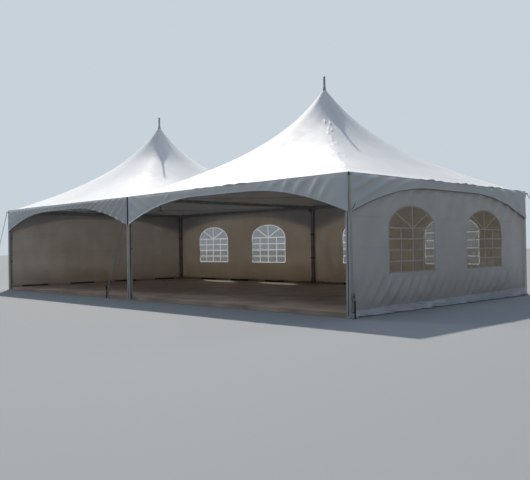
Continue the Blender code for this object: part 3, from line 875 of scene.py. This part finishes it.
def valance(node, first, second, folds):
    """Height runs from the arched edge to the eave; depth = folds x how free the cloth hangs."""
    where = node.removeprefix("valance_")
    side = where.split("_")[0]
    start = first + (CORNER_GAP if first else MIDDLE_GAP)
    end = second - (CORNER_GAP if second else MIDDLE_GAP)
    run = np.linspace(start, end, int((end - start) / 0.018))
    nearest = nearest_post(run, first, second)
    top_edge = VALANCE_TOP + 0.5 * eave_puff(where, run) * ramp(nearest, 0.05, 0.35)
    lower = EAVE - SHALLOW - (DEEP - SHALLOW) * np.clip(1 - nearest / ARCH_RUN, 0, 1) ** 2
    share = np.linspace(0, 1, 26)[:, None]
    above_hem = lower + HEM + FOLD + share * (top_edge - lower - HEM - FOLD)
    height = np.concatenate([lower[None], (lower + HEM)[None], above_hem])
    run = np.broadcast_to(run, height.shape)
    doubled = np.zeros(height.shape)
    doubled[:2] = 0.0016
    free = ramp(top_edge - height, 0.0, 0.07)
    free = free * ramp(nearest, 0.03, 0.16) * (0.4 + 0.6 * ramp(height - lower, 0.0, 0.14))
    depth = folds(run, height) * free + doubled
    line = OUTER if side in ("front", "back") else BAY
    points = place_on(side, line - CLOTH)(run, depth, height)
    faces = facing(side, grid_faces(*height.shape))
    made = piece(node.replace("valance", "valance_cloth"), [(points, faces)], valance_cloth, node, [node],
                 uv=np.stack([run, height], axis=-1), thick=CLOTH, offset=1)
    return points[0]


hems = [
    valance("valance_front_left", -BAY, 0, pleated),
    valance("valance_front_right", 0, BAY, eased),
    valance("valance_back_left", -BAY, 0, mirrored(eased)),
    valance("valance_back_right", 0, BAY, eased),
    valance("valance_left", -OUTER, OUTER, corner_folds),
    valance("valance_right", -OUTER, OUTER, corner_folds),
]
# The cord's grey-brown colour is a painted shadow line under the hem.
piping = [sweep(round_outline(PIPING, 8), hem[2:-2]) for hem in hems]
piece("valance_piping", piping, piping_painted_shadow, "valance_front_left")

# %% [markdown]
# ## Round-headed openings
# A grid can't have a hole, and a Boolean would leave long thin faces that fold badly. So each
# window gets a patch of its own: rays from the window's middle run from its edge out to a
# rectangle. Plain grids with the same heights along their sides fill the rest of the wall.

# %% Window outline and wall patches
WALL_TOP = 2.118
WALL_LOW = 0.0085
WINDOW_HALF = 0.70
WINDOW_OFF = 1.25         # from the middle of a bay or an end to a window's middle
SILL = 0.63
SPRING = 1.37             # height that the window's arch starts at
CROWN = 1.75
ARCH = CROWN - SPRING
MIDDLE = 1.15             # height that the rays start from
PATCH = 1.00              # half-width of a window's patch


def to_edge(direction):
    """Distance from the window's middle to its edge: sill and sides are straight, the head an ellipse."""
    across = np.abs(direction[..., 0]) + 1e-9
    up = direction[..., 1]
    side = WINDOW_HALF / across
    sill = np.where(up < 0, (MIDDLE - SILL) / np.maximum(-up, 1e-9), np.inf)
    square = (across / WINDOW_HALF) ** 2 + (up / ARCH) ** 2
    half = up * (MIDDLE - SPRING) / ARCH ** 2
    rest = ((MIDDLE - SPRING) / ARCH) ** 2 - 1
    head = (-half + np.sqrt(np.maximum(half ** 2 - square * rest, 0))) / square
    return np.where(MIDDLE + side * up > SPRING, head, np.minimum(side, sill))


def side_heights():
    """Heights shared by all patches; one of them lies on the ray through the window's lower corner."""
    corner = MIDDLE - (MIDDLE - SILL) * PATCH / WINDOW_HALF
    return np.concatenate([np.linspace(WALL_LOW, 0.26, 9)[:-1], np.linspace(0.26, corner, 6)[:-1],
                           np.linspace(corner, WALL_TOP, 44)])


def window_patch(centre, heights):
    """Point = edge x (1 - share) + border x share, from the window's edge to its rectangle."""
    runs = np.linspace(-PATCH, PATCH, 41)
    low = np.stack([runs, np.full(runs.shape, heights[0])], axis=-1)
    high = np.stack([runs[::-1], np.full(runs.shape, heights[-1])], axis=-1)
    near = np.stack([np.full(heights.shape, PATCH), heights], axis=-1)
    far = np.stack([np.full(heights.shape, -PATCH), heights[::-1]], axis=-1)
    border = np.concatenate([low[:-1], near[:-1], high[:-1], far[:-1]]) - np.array([0, MIDDLE])
    edge = unit(border) * to_edge(unit(border))[:, None]
    share = np.linspace(0, 1, 22)[:, None, None] ** 1.2
    spread = edge[None] * (1 - share) + border[None] * share
    return spread[..., 0] + centre, spread[..., 1] + MIDDLE


# %% [markdown]
# ## Folds of the walls
# The end wall that faces the camera is slack: strong folds slant below its windows and softer ones
# above them. The other walls hang straight. At its two edges each wall steps out over the posts
# that it covers, and there and at the eave the cloth is held tight.

# %% Folds of the walls
STEP = POST / 2 + 0.00085 # from the posts' middle line out to the cloth that covers them
END_HALF = POST_LINE - POST / 2


def over_posts(run, start, end):
    """How far the cloth steps out where it passes over the posts, which stand beyond start and end."""
    return STEP * (1 - ramp(nearest_post(run, start, end), 0.004, 0.07))


def bound(run, height, start, end):
    """1 in the middle of a wall and 0 at its beaded edges and at the eave."""
    upright = ramp(run, start + 0.01, start + 0.30) * ramp(-run, -end + 0.01, -end + 0.30)
    return upright * ramp(-height, -WALL_TOP, -2.02)


def end_wall_folds(run, height):
    """Folds 85 mm deep below the windows and 45 mm deep above them, and broad unevenness."""
    beside = np.abs(run) - WINDOW_OFF
    low = ramp(-height, -0.80 + 0.18 * (np.abs(beside) < 0.8), -0.42) * ramp(height, 0.05, 0.30)
    uneven = ripple(run, 0.4 * height, 0.9, 6)
    swell = 0.55 + 0.25 * np.sin(1.9 * run + 4.4) + 0.35 * uneven + 0.35 * ramp(run, 0.0, 1.0)
    folds = 0.085 * low * swell * slanting(run, height, 0.27, 0.85, 1.4 * np.sin(1.3 * run) + 1.6 * uneven)
    from_window = np.hypot(beside / WINDOW_HALF, (height - SPRING) / ARCH)
    high = ramp(height, 1.35, 1.75) * ramp(-height, -2.12, -1.98) * ramp(from_window, 1.05, 1.6)
    folds += 0.045 * high * slanting(run, height, 0.42, 0.80, 1.2 * np.sin(1.1 * run))
    folds += 0.010 * ripple(run, height, 0.8, 4) * ramp(height, 0.1, 0.5)
    return folds * bound(run, height, -END_HALF, END_HALF) + over_posts(run, -END_HALF, END_HALF)


def still_folds(seed, start, end):
    """Quiet folds of a wall that hangs straight: 4 mm upright waves and 5 mm broad ones."""
    def folds(run, height):
        """(Waves + 2 mm) x how loose the cloth is + the step over the posts."""
        wave = 0.004 * ripple(run, 0.25 * height, 0.45, seed) + 0.005 * ripple(run, height, 1.3, seed + 1)
        return (wave + 0.002) * bound(run, height, start, end) + over_posts(run, start, end)
    return folds


print("step over a post:", round(1000 * STEP, 2), "mm")

# %% [markdown]
# ## Walls
# A wall is one sheet that closes over the outer faces of its posts. Its patches and grids are
# welded where they meet, so that the shading runs over the joints, and the same fold formula moves
# every point.

# %% Walls
BACK_START = POST / 2
BACK_END = END_LINE - POST / 2
WHOLE = POST - 0.002      # lap over a corner post
HALF = POST / 2 - 0.001   # lap over half of the middle post
wall_shapes = {           # side, start, end, laps, windows, folds
    "wall_right": ("right", -END_HALF, END_HALF, (WHOLE, WHOLE), (-WINDOW_OFF, WINDOW_OFF), end_wall_folds),
    "wall_left": ("left", -END_HALF, END_HALF, (WHOLE, WHOLE), (), still_folds(31, -END_HALF, END_HALF)),
    "wall_back_right": ("back", BACK_START, BACK_END, (HALF, WHOLE),
                        (MAST_X - WINDOW_OFF, MAST_X + WINDOW_OFF), still_folds(41, BACK_START, BACK_END)),
    "wall_back_left": ("back", -BACK_END, -BACK_START, (WHOLE, HALF),
                       (-MAST_X - WINDOW_OFF, -MAST_X + WINDOW_OFF), still_folds(51, -BACK_END, -BACK_START)),
}


def runs_between(low, high, start, end):
    """Places along a stretch of wall, close together where the cloth steps out over a post."""
    runs = np.linspace(low, high, max(3, int((high - low) / 0.045)))
    if low < start:
        runs = np.concatenate([np.linspace(low, start + 0.10, 24), runs[runs > start + 0.12]])
    if high > end:
        runs = np.concatenate([runs[runs < end - 0.12], np.linspace(end - 0.10, high, 24)])
    return runs


def wall(node, side, start, end, laps, windows, folds):
    """A patch round each window and a grid between two cuts, moved outwards by the folds."""
    heights = side_heights()
    place = place_on(side, post_line(side))
    cuts = [start - laps[0]]
    for centre in windows:
        cuts += [centre - PATCH, centre + PATCH]
    cuts.append(end + laps[1])
    grids = [(*window_patch(centre, heights), True) for centre in windows]
    for low, high in zip(cuts[::2], cuts[1::2]):
        grids.append((*np.meshgrid(runs_between(low, high, start, end), heights), False))
    parts = []
    uvs = []
    for run, height, ring in grids:
        faces = grid_faces(*run.shape, ring=ring)
        faces = faces[:, ::-1] if ring else faces
        parts.append((place(run, folds(run, height), height), facing(side, faces)))
        uvs.append(np.stack([run, height], axis=-1).reshape(-1, 2))
    look = wall_cloth if side == "back" else end_wall_cloth
    made = piece(node.replace("wall", "wall_cloth"), parts, look, node, [node], uv=np.concatenate(uvs),
                 thick=CLOTH, weld=True)
    length = end - start + sum(laps)


for node, shape in wall_shapes.items():
    wall(node, *shape)

# %% [markdown]
# ## Skirts
# A strip of cloth is welded to the outside of each wall a hand above the ground. It kicks out at
# its foot, so it catches the sky and looks lighter than the wall. Its height falls along a grid
# while its foot swings in and out in uneven waves.

# %% Skirts
SKIRT_TOP = 0.130
KICK = 0.075              # how far the foot swings out
LAP = 0.0022              # from the wall's middle out to the skirt's


def skirt(node, seed, climb):
    """Out = the wall's fold + lap + kick x share^1.2, with waves that grow towards the foot."""
    side, start, end, laps, _, folds = wall_shapes[node]
    start = start - laps[0] + 0.003
    end = end + laps[1] - 0.003
    run = np.linspace(start, end, int((end - start) / 0.020))[None]
    share = np.linspace(0, 1, 22)[:, None]
    top_line = SKIRT_TOP + climb * run + 0.012 * ripple(run, 0 * run, 0.7, seed)
    height = top_line - share * (top_line - WALL_LOW)
    soft = ripple(run, 0.3 * share, 0.55, seed + 1)
    sharp = 1 - 2 * np.abs(ripple(run - 0.35 * share, 0.25 * share, 0.30, seed + 2))
    held = ramp(nearest_post(run, start, end), 0.0, 0.12)
    swing = KICK * share ** 1.2 * (0.75 + 0.40 * soft + 0.25 * sharp) * held
    out = folds(run, height) + LAP + np.clip(swing, 0, None)
    points = place_on(side, post_line(side))(run, out, height)
    uv = np.stack(np.broadcast_arrays(run, height), axis=-1)
    faces = facing(side, grid_faces(*height.shape)[:, ::-1])
    made = piece(node.replace("wall", "skirt_cloth"), [(points, faces)], skirt_cloth, node,
                 uv=uv, thick=CLOTH)


for number, node in enumerate(wall_shapes):
    skirt(node, 70 + 3 * number, 0.010 if node == "wall_right" else 0.0)

# %% [markdown]
# ## Lines of the glazing bars
# White strips make each window look like a sash window: a border, a bar at the spring of the arch,
# four columns by four rows below and a fan of three spokes above. Each strip is a line first, and
# the lines stop at each other's edges, because strips that overlapped would flicker.

# %% Lines of the glazing bars
BAR = 0.023               # width of a strip


def head_at(across, inset=0.0):
    """Height of the arch above a place across the window, drawn in by an inset."""
    half = WINDOW_HALF - inset
    return SPRING + (ARCH - inset) * np.sqrt(np.clip(1 - (across / half) ** 2, 0, 1))


def bars():
    """The lines of one window's strips as (run, height), with its middle at run 0."""
    inset = BAR / 2
    half = WINDOW_HALF - inset
    low = SILL + inset
    across = half * np.cos(np.linspace(0, np.pi, 41))
    arch = np.stack([across, head_at(across, inset)], axis=-1)
    lines = [np.concatenate([[[half, low]], arch, [[-half, low]]])]
    heights = np.linspace(low, SPRING, 5)
    lines.append([(-half + inset, low), (half - inset, low)])
    for below, height in zip(heights, heights[1:]):
        lines.append([(-half + inset, height), (half - inset, height)])
        for run in (-half / 2, 0.0, half / 2):
            lines.append([(run, below + inset), (run, height - inset)])
    for angle, start in ((45, 0.10), (90, 0.05), (135, 0.10)):
        turned = math.radians(angle)
        reach = np.array([half * math.cos(turned), (ARCH - inset) * math.sin(turned)])
        lines.append(np.array([0, SPRING]) + np.array([[start], [0.965]]) * reach)
    return lines


def ribbon(line, width):
    """Two rows of points, half the width to each side of a line of (run, height)."""
    line = np.asarray(line, float)
    if len(line) == 2:
        share = np.linspace(0, 1, 21)[:, None]
        line = line[0] * (1 - share) + line[1] * share
    along = unit(np.gradient(line, axis=0))
    beside = np.stack([-along[:, 1], along[:, 0]], axis=-1) * width / 2
    return np.stack([line - beside, line + beside])


print("strips in a window:", len(bars()))

# %% [markdown]
# ## Windows
# The film is a grid from the sill up to the arch, welded to the inside of the wall with a 12 mm
# lap, and it ripples a little on top of the wall's own folds. The strips lie on both of its faces:
# ribbons on the same surface, thick enough to reach through it.

# %% Windows
WELD_LAP = 0.012
FILM_IN = 0.0022          # from the wall's middle in to the film's
STRIP_IN = 0.0018         # and to the strips'


def window(node, wall_node, centre, seed):
    """A film from the sill to the arch and strips on both its faces, all on one depth formula."""
    side = wall_shapes[wall_node][0]
    folds = wall_shapes[wall_node][-1]
    place = place_on(side, post_line(side))

    def depth(run, height):
        """The wall's fold + a ripple of 2.5 mm."""
        return folds(run, height) + 0.0025 * ripple(run, height, 0.35, seed)

    across = (WINDOW_HALF + WELD_LAP) * np.sin(np.linspace(-np.pi / 2, np.pi / 2, 41))
    share = np.linspace(0, 1, 41)[:, None]
    height = SILL - WELD_LAP + share * (head_at(across, -WELD_LAP)[None] - SILL + WELD_LAP)
    run = np.broadcast_to(across[None] + centre, height.shape)
    points = place(run, depth(run, height) - FILM_IN, height)
    clear = piece(f"{node}_film", [(points, facing(side, grid_faces(*height.shape)))],
                  back_film if side == "back" else end_film, node, [node], thick=0.0008)
    parts = []
    for line in bars():
        strip = ribbon(np.asarray(line, float) + np.array([centre, 0]), BAR)
        run = strip[..., 0]
        height = strip[..., 1]
        points = place(run, depth(run, height) - STRIP_IN, height)
        parts.append((points, facing(side, grid_faces(*run.shape))))
    piece(f"{node}_bars", parts, white_strip if side == "back" else thin_strip, wall_node, thick=0.0034,
          smooth=False)


windows_of = {
    "wall_right": ("window_right_front", "window_right_back"),
    "wall_back_left": ("window_back_left_outer", "window_back_left_inner"),
    "wall_back_right": ("window_back_right_inner", "window_back_right_outer"),
}
seed = 60
for wall_node, names in windows_of.items():
    for node, centre in zip(names, wall_shapes[wall_node][4]):
        window(node, wall_node, centre, seed)
        seed += 1

# %% [markdown]
# ## Floor
# The deck is of film-faced plywood panels laid a few millimetres apart on cassettes. One box with
# painted lines would do from afar, but the gaps catch real shadows when each panel is its own slab
# with eased edges. The panels at the posts have a corner cut away.

# %% Floor panels
PANEL_GAP = 0.003
PANEL_EASE = 0.0015
PANEL_THICK = 0.021
CASSETTE_INSET = 0.004
CASSETTE_LOW = 0.002
FLOOR_X = 5.9502
FLOOR_Y = 2.9502
NOTCH = 0.0753
JUST = 0.01               # nearer than this to the deck's edge, a panel's edge has no gap


def slab(outline, low, high, ease):
    """An upright prism over an outline, its top edge eased by drawing the last ring inwards."""
    outline = np.asarray(outline, float)
    before = unit(outline - np.roll(outline, 1, axis=0))
    after = unit(np.roll(outline, -1, axis=0) - outline)
    inward = np.stack([-before[:, 1] - after[:, 1], before[:, 0] + after[:, 0]], axis=-1)
    rings = [(outline, low), (outline, high - ease), (outline + ease * inward, high)]
    points = [np.column_stack([ring, np.full(len(ring), height)]) for ring, height in rings]
    return np.concatenate(points), tube_faces(3, len(outline), flip=True)


def panel_outline(left, right, near, far):
    """A panel's plan, with a corner cut where it meets a post."""
    gap = PANEL_GAP / 2
    outline = []
    for number, (x, y) in enumerate([(left, near), (right, near), (right, far), (left, far)]):
        in_x = 1 if x == left else -1
        in_y = 1 if y == near else -1
        edge_x = x + in_x * gap * (abs(x) < FLOOR_X - JUST)
        edge_y = y + in_y * gap * (abs(y) < FLOOR_Y - JUST)
        post_x = min((-END_LINE, 0.0, END_LINE), key=lambda line: abs(line - x))
        if abs(y) > FLOOR_Y - JUST and abs(post_x - x) < 2 * JUST:
            cut_x = post_x + in_x * NOTCH
            cut_y = math.copysign(POST_LINE - NOTCH, y)
            bend = [(cut_x, edge_y), (cut_x, cut_y), (edge_x, cut_y)]
            outline += bend[::-1] if number % 2 == 0 else bend
        else:
            outline.append((edge_x, edge_y))
    return np.array(outline)


columns = np.linspace(-FLOOR_X, FLOOR_X, 11)
columns[5] = 0.0
rows = [-FLOOR_Y, -0.55, 1.85, FLOOR_Y]
panels = []
cassettes = []
for left, right in zip(columns, columns[1:]):
    for near, far in zip(rows, rows[1:]):
        plan = panel_outline(left, right, near, far)
        panels.append(slab(plan, FLOOR_TOP - PANEL_THICK, FLOOR_TOP, PANEL_EASE))
        drawn_in = plan - CASSETTE_INSET * np.sign(plan - plan.mean(axis=0))
        cassettes.append(slab(drawn_in, CASSETTE_LOW, FLOOR_TOP - PANEL_THICK - 0.0005, 0.001))
piece("floor_panels", panels, plywood, "floor", smooth=False)
piece("floor_cassettes", cassettes, plywood, "floor", ["floor"], smooth=False)
print("floor panels:", len(panels))

# %% [markdown]
# ## Battens at the foot of the walls
# Short dark battens hold the walls' foot to the deck on the inside, one every metre and a half,
# each with two screws. A batten is a box with cut corners carried along a straight line.

# %% Battens
BATTEN = 0.77             # length of a batten
BATTEN_HEIGHT = FLOOR_TOP + 0.018
batten_outline = box_outline(0.022, 0.034, 0.004)


def battens(side, centres):
    """A bar and two screw heads for each batten of one wall."""
    parts = []
    place = place_on(side, post_line(side))
    for centre in centres:
        bar = place(centre + BATTEN / 2 * np.array([-1, 0, 1]), -0.022, BATTEN_HEIGHT)
        parts.append(sweep(batten_outline, bar))
        for shift in (-0.3, 0.3):
            screw = place(centre + shift, np.array([-0.030, -0.037]), BATTEN_HEIGHT)
            parts.append(sweep(round_outline(0.009, 8), screw))
    return parts


END_BATTENS = (-2.25, -0.75, 0.75, 2.25)
all_battens = battens("back", (-4.5, -3.0, -1.5, 1.5, 3.0, 4.5)) + battens("left", END_BATTENS)
all_battens += battens("right", END_BATTENS)
piece("wall_battens", all_battens, black_steel, smooth=False)

# %% [markdown]
# ## Frame finishes
# The posts, beams and masts keep their solids and get the finish of drawn, anodised aluminium. The
# cables are galvanised and the stakes are painted black. A node's name tells what it is.

# %% Finish the solids
solid_finishes = {"post_": post_metal, "mast_": aluminium, "beam_": beam_aluminium,
                  "cable_cross_": galvanised, "stake_": black_steel}
finished = 0
for name, solid in nodes.items():
    for start, look in solid_finishes.items():
        if name.startswith(start):
            solid.data.materials.clear()
            solid.data.materials.append(look)
            finished += 1
print("solids finished:", finished)

# %% [markdown]
# ## Gussets
# A flat plate stiffens the corner between each post and each beam that ends on it. Its corners
# are pushed apart by its thickness, which is quicker than bending a box to them; the same
# function makes the sides of a ratchet later.

# %% Gussets
BEAM_FOOT = 2.117         # underside of the beams, where a gusset's top lies
INSET = 0.020             # how far inside the wall's cloth a gusset stands
posts = [(x, y) for x in (-END_LINE, 0.0, END_LINE) for y in (-POST_LINE, POST_LINE)]


def plate(corners, thickness):
    """Corners in order, pushed half the thickness to each side of their plane."""
    corners = np.asarray(corners, float)
    across = unit(np.cross(corners[1] - corners[0], corners[-1] - corners[0])) * thickness / 2
    return np.concatenate([corners + across, corners - across]), tube_faces(2, len(corners))


def arms(x, y):
    """Directions of the beams that end on a post, each with the way in from the cloth."""
    inward = -math.copysign(1, y)
    found = [(np.array([way, 0, 0.0]), np.array([0, inward * INSET, 0]))
             for way in (-1, 1) if abs(x + way) < END_LINE]
    beside = np.array([-math.copysign(INSET, x) if x else 0.0, 0, 0])
    return found + [(np.array([0, inward, 0.0]), beside)]


gussets = []
for x, y in posts:
    for way, beside in arms(x, y):
        near = np.array([x, y, 0.0]) + beside + 0.0404 * way
        far = np.array([x, y, 0.0]) + beside + 0.160 * way
        corners = [near + BEAM_FOOT * UP, far + BEAM_FOOT * UP, far + 2.100 * UP, near + 2.005 * UP]
        gussets.append(plate(corners, 0.005))
piece("head_gussets", gussets, galvanised, "beam_middle", smooth=False)

# %% [markdown]
# ## Wall clamps and base bolts
# Clamps with a round knob grip the walls' beads on the posts: a strip bent round the post's inner
# corner, a stem and the knob. Four bolts hold down each base plate. The bolts' heads are turned
# profiles with six sides, which makes a hexagon without any cutting.

# %% Clamps and bolts
CLAMP_HEIGHTS = (0.21, 0.78, 1.42)
OPEN_CLAMP = (1.09,)      # the front middle post has no wall, so it has a single spare clamp
SKIN = 0.0415             # from a post's middle to the middle of a strip round it
KNOB_IN = 0.026           # how far in from the post's middle line a knob sits
BOLT_AT = 0.056
bolt = [(0.012, 0.008), (0.012, 0.0155), (0.010, 0.0170)]

clamps = []
bolts = []
for x, y in posts:
    inward = -math.copysign(1, y)
    heights = OPEN_CLAMP if (x, y) == (0.0, -POST_LINE) else CLAMP_HEIGHTS
    ways = (-1, 1) if x == 0 else (-math.copysign(1, x),)
    for height in heights:
        for way in ways:
            band = [(x + way * SKIN, y + inward * 0.009, height), (x + way * SKIN, y + inward * SKIN, height),
                    (x + way * 0.002, y + inward * SKIN, height)]
            clamps.append(sweep(box_outline(0.003, 0.034, 0.0008), band))
            middle = np.array([x, y + inward * KNOB_IN, height])
            for radius, sides, near, far in ((0.006, 10, 0.041, 0.060), (0.015, 12, 0.056, 0.068)):
                ends = middle + np.array([[way * near, 0, 0], [way * far, 0, 0]])
                clamps.append(sweep(round_outline(radius, sides), ends))
    for step_x in (-BOLT_AT, BOLT_AT):
        for step_y in (-BOLT_AT, BOLT_AT):
            bolts.append(lathe(bolt, (x + step_x, y + step_y, 0), 6))
piece("wall_clamps", clamps, galvanised, "beam_middle", smooth=False)
piece("base_bolts", bolts, galvanised, "beam_middle", smooth=False)

# %% [markdown]
# ## Cuffs and turnbuckles
# A turned cuff clamps the cloth to each mast below its tip. The crossed cables are tightened with
# turnbuckles: two rods and two nuts near each far end. The cable's ends are read from its solid,
# so the fittings sit on it whatever its slope.

# %% Cuffs and turnbuckles
BUCKLE_FROM = 0.55        # from the cable's end to the turnbuckle's middle
BUCKLE_HALF = 0.10        # from there to its nuts
cuff = [(0.0375, 4.414), (0.0390, 4.420), (0.0335, 4.440), (0.0290, 4.475), (0.0252, 4.481)]
piece("mast_cuffs", [lathe(cuff, (x, 0, 0)) for x in (-MAST_X, MAST_X)], aluminium, "mast_left")


def solid_points(node):
    """The points of a node's solid as an array."""
    vertices = nodes[node].data.vertices
    found = np.empty(len(vertices) * 3, np.float32)
    vertices.foreach_get("co", found)
    return found.reshape(-1, 3).astype(float)


def cable_ends(node, centre):
    """The cable's four far ends, and the middle of its ring."""
    points = solid_points(node)
    ends = []
    for way_x in (-1, 1):
        for way_y in (-1, 1):
            reach = (points[:, 0] - centre) * way_x + points[:, 1] * way_y
            ends.append(points[reach > reach.max() - 0.012].mean(axis=0))
    return ends, points[np.hypot(points[:, 0] - centre, points[:, 1]) < 0.1].mean(axis=0)


turnbuckles = []
for node, centre in (("cable_cross_left", -MAST_X), ("cable_cross_right", MAST_X)):
    ends, ring = cable_ends(node, centre)
    for end in ends:
        along = unit(ring - end)
        middle = end + BUCKLE_FROM * along
        side = unit(np.cross(along, UP))
        for shift in (-0.011, 0.011):
            rod = np.stack([middle - BUCKLE_HALF * along, middle + BUCKLE_HALF * along]) + shift * side
            turnbuckles.append(sweep(round_outline(0.0035, 8), rod))
        for shift in (-BUCKLE_HALF, BUCKLE_HALF):
            nut = np.stack([middle + (shift - 0.014) * along, middle + (shift + 0.014) * along])
            turnbuckles.append(sweep(round_outline(0.016, 10), nut))
piece("turnbuckles", turnbuckles, galvanised, "cable_cross_left")

# %% [markdown]
# ## Laces
# A short elastic cord ties the low tip of each valance to its post. It runs from an eyelet in the
# cloth down and back to the post, a round profile carried along five points. The front's tips are
# held from behind, so they have none.

# %% Valance laces
LACE_OUT = 0.018          # how far in front of the valance's line a lace lies
lace_path = np.array([          # distance from the post, out from the cloth, height
    (0.115, 0.0045, 1.735), (0.095, 0.0075, 1.700), (0.060, 0.0075, 1.660), (0.030, 0.006, 1.630),
    (0.012, -0.010, 1.618),
])
tied = (("back", OUTER, BAY, (-BAY, 0, BAY)), ("left", BAY, OUTER, (-OUTER, OUTER)),
        ("right", BAY, OUTER, (-OUTER, OUTER)))
laces = []
for side, line, length, post_runs in tied:
    place = place_on(side, line)
    for post_run in post_runs:
        for way in (-1, 1):
            if abs(post_run + way) < length:
                lace = place(post_run + way * lace_path[:, 0], lace_path[:, 1] + LACE_OUT, lace_path[:, 2])
                laces.append(sweep(round_outline(0.004, 8), lace))
piece("valance_laces", laces, black_cord)

# %% [markdown]
# ## Straps
# A strap of woven webbing holds each post's head to its stake. It is taut, so it runs straight from
# the post's plate to the stake's, with a loose tail beside it; no simulation is needed. Its width
# points sideways along its whole length, and its UV map runs in metres for the ribs.

# %% Webbing bands
STRAP_HALF = 0.0175
STRAP_THICK = 0.0024


def strap_line(node):
    """Lower and upper end of a strap's centre line, and the way its width points, from its solid."""
    points = solid_points(node)
    low = points[points[:, 2] < points[:, 2].min() + 1e-4].mean(axis=0)
    high = points[points[:, 2] > points[:, 2].max() - 1e-4].mean(axis=0)
    lean = unit((high - low)[:2])
    return low, high, np.array([-lean[1], lean[0], 0.0])


def webbing_band(path, across):
    """A flat band along a path, and its UV: u from its middle, v along it, both in metres."""
    path = np.asarray(path, float)
    half = STRAP_THICK / 2
    outline = np.array([(-STRAP_HALF, -half), (STRAP_HALF, -half), (STRAP_HALF, half), (-STRAP_HALF, half)])
    points, faces = sweep(outline, path, np.cross(across, unit(np.gradient(path, axis=0))))
    run = np.concatenate([[0], np.cumsum(np.linalg.norm(np.diff(path, axis=0), axis=1))])
    uv = np.stack(np.broadcast_arrays(outline[None, :, 0], run[:, None]), axis=-1)
    return points, faces, uv.reshape(-1, 2)


print("strap:", 2000 * STRAP_HALF, "by", 1000 * STRAP_THICK, "mm")

# %% [markdown]
# ## Ratchets
# Each strap is tightened by a ratchet: two side plates with a handle folded over them, a spindle
# with webbing wound on it, and three cross bars. Plates and round bars are enough for its look at
# this distance.

# %% Straps with ratchets
side_plate = [(-0.055, -0.010), (0.045, -0.010), (0.055, 0.004), (0.030, 0.024), (0.0, 0.028),
              (-0.030, 0.018), (-0.055, 0.004)]
handle = [(-0.075, 0.022), (0.020, 0.030), (0.024, 0.038), (-0.078, 0.034)]
METAL = 0.003             # thickness of the plates
TAIL_OFF = 0.0026         # how far the sewn end lies off the strap


def ratchet(centre, along, across):
    """Outlines are (along, normal) and pushed across; round bars are (along, normal, radius)."""
    normal = np.cross(along, across)
    parts = []
    for outline, places in ((side_plate, (-0.024, 0.021)), (handle, (-0.019, 0.016))):
        for place in places:
            level_with = np.full(len(outline), place + METAL / 2)
            corners = np.column_stack([outline, level_with]) @ np.stack([along, normal, across])
            parts.append(plate(corners + centre, METAL))
    for shift, rise, radius in ((0.0, 0.010, 0.014), (-0.045, 0.0, 0.005), (-0.070, 0.028, 0.007),
                                (0.040, 0.0, 0.005)):
        middle = centre + shift * along + rise * normal
        ends = np.stack([middle - 0.026 * across, middle, middle + 0.026 * across])
        parts.append(sweep(round_outline(radius, 12), ends, up=along))
    return parts


ratchet_heights = {"front_left": 0.34, "front_middle": 0.36, "front_right": 0.33, "back_left": 0.42,
                   "back_middle": 0.42, "back_right": 0.42}
tail = np.linspace(0, 1, 9)[:, None]
for where, height in ratchet_heights.items():
    node = f"strap_{where}"
    low, high, across = strap_line(node)
    at = low + (height - low[2]) / (high[2] - low[2]) * (high - low)
    along = unit(high - low)
    normal = np.cross(along, across)
    lines = [
        np.linspace(low, at - 0.04 * along, 6),
        np.linspace(at + 0.03 * along, high, 24),
        np.linspace(high - 0.28 * along, high, 6) + TAIL_OFF * normal,
        at + 0.012 * normal + tail * (0.05 * normal - 0.16 * along) - 0.03 * tail ** 2 * normal,
    ]
    bands = [webbing_band(line, across) for line in lines]
    piece(f"webbing_{where}", [band[:2] for band in bands], webbing, node, [node],
          uv=np.concatenate([band[2] for band in bands]), smooth=False)
    piece(f"ratchet_{where}", ratchet(at, along, across), galvanised, f"stake_{where}", smooth=False)
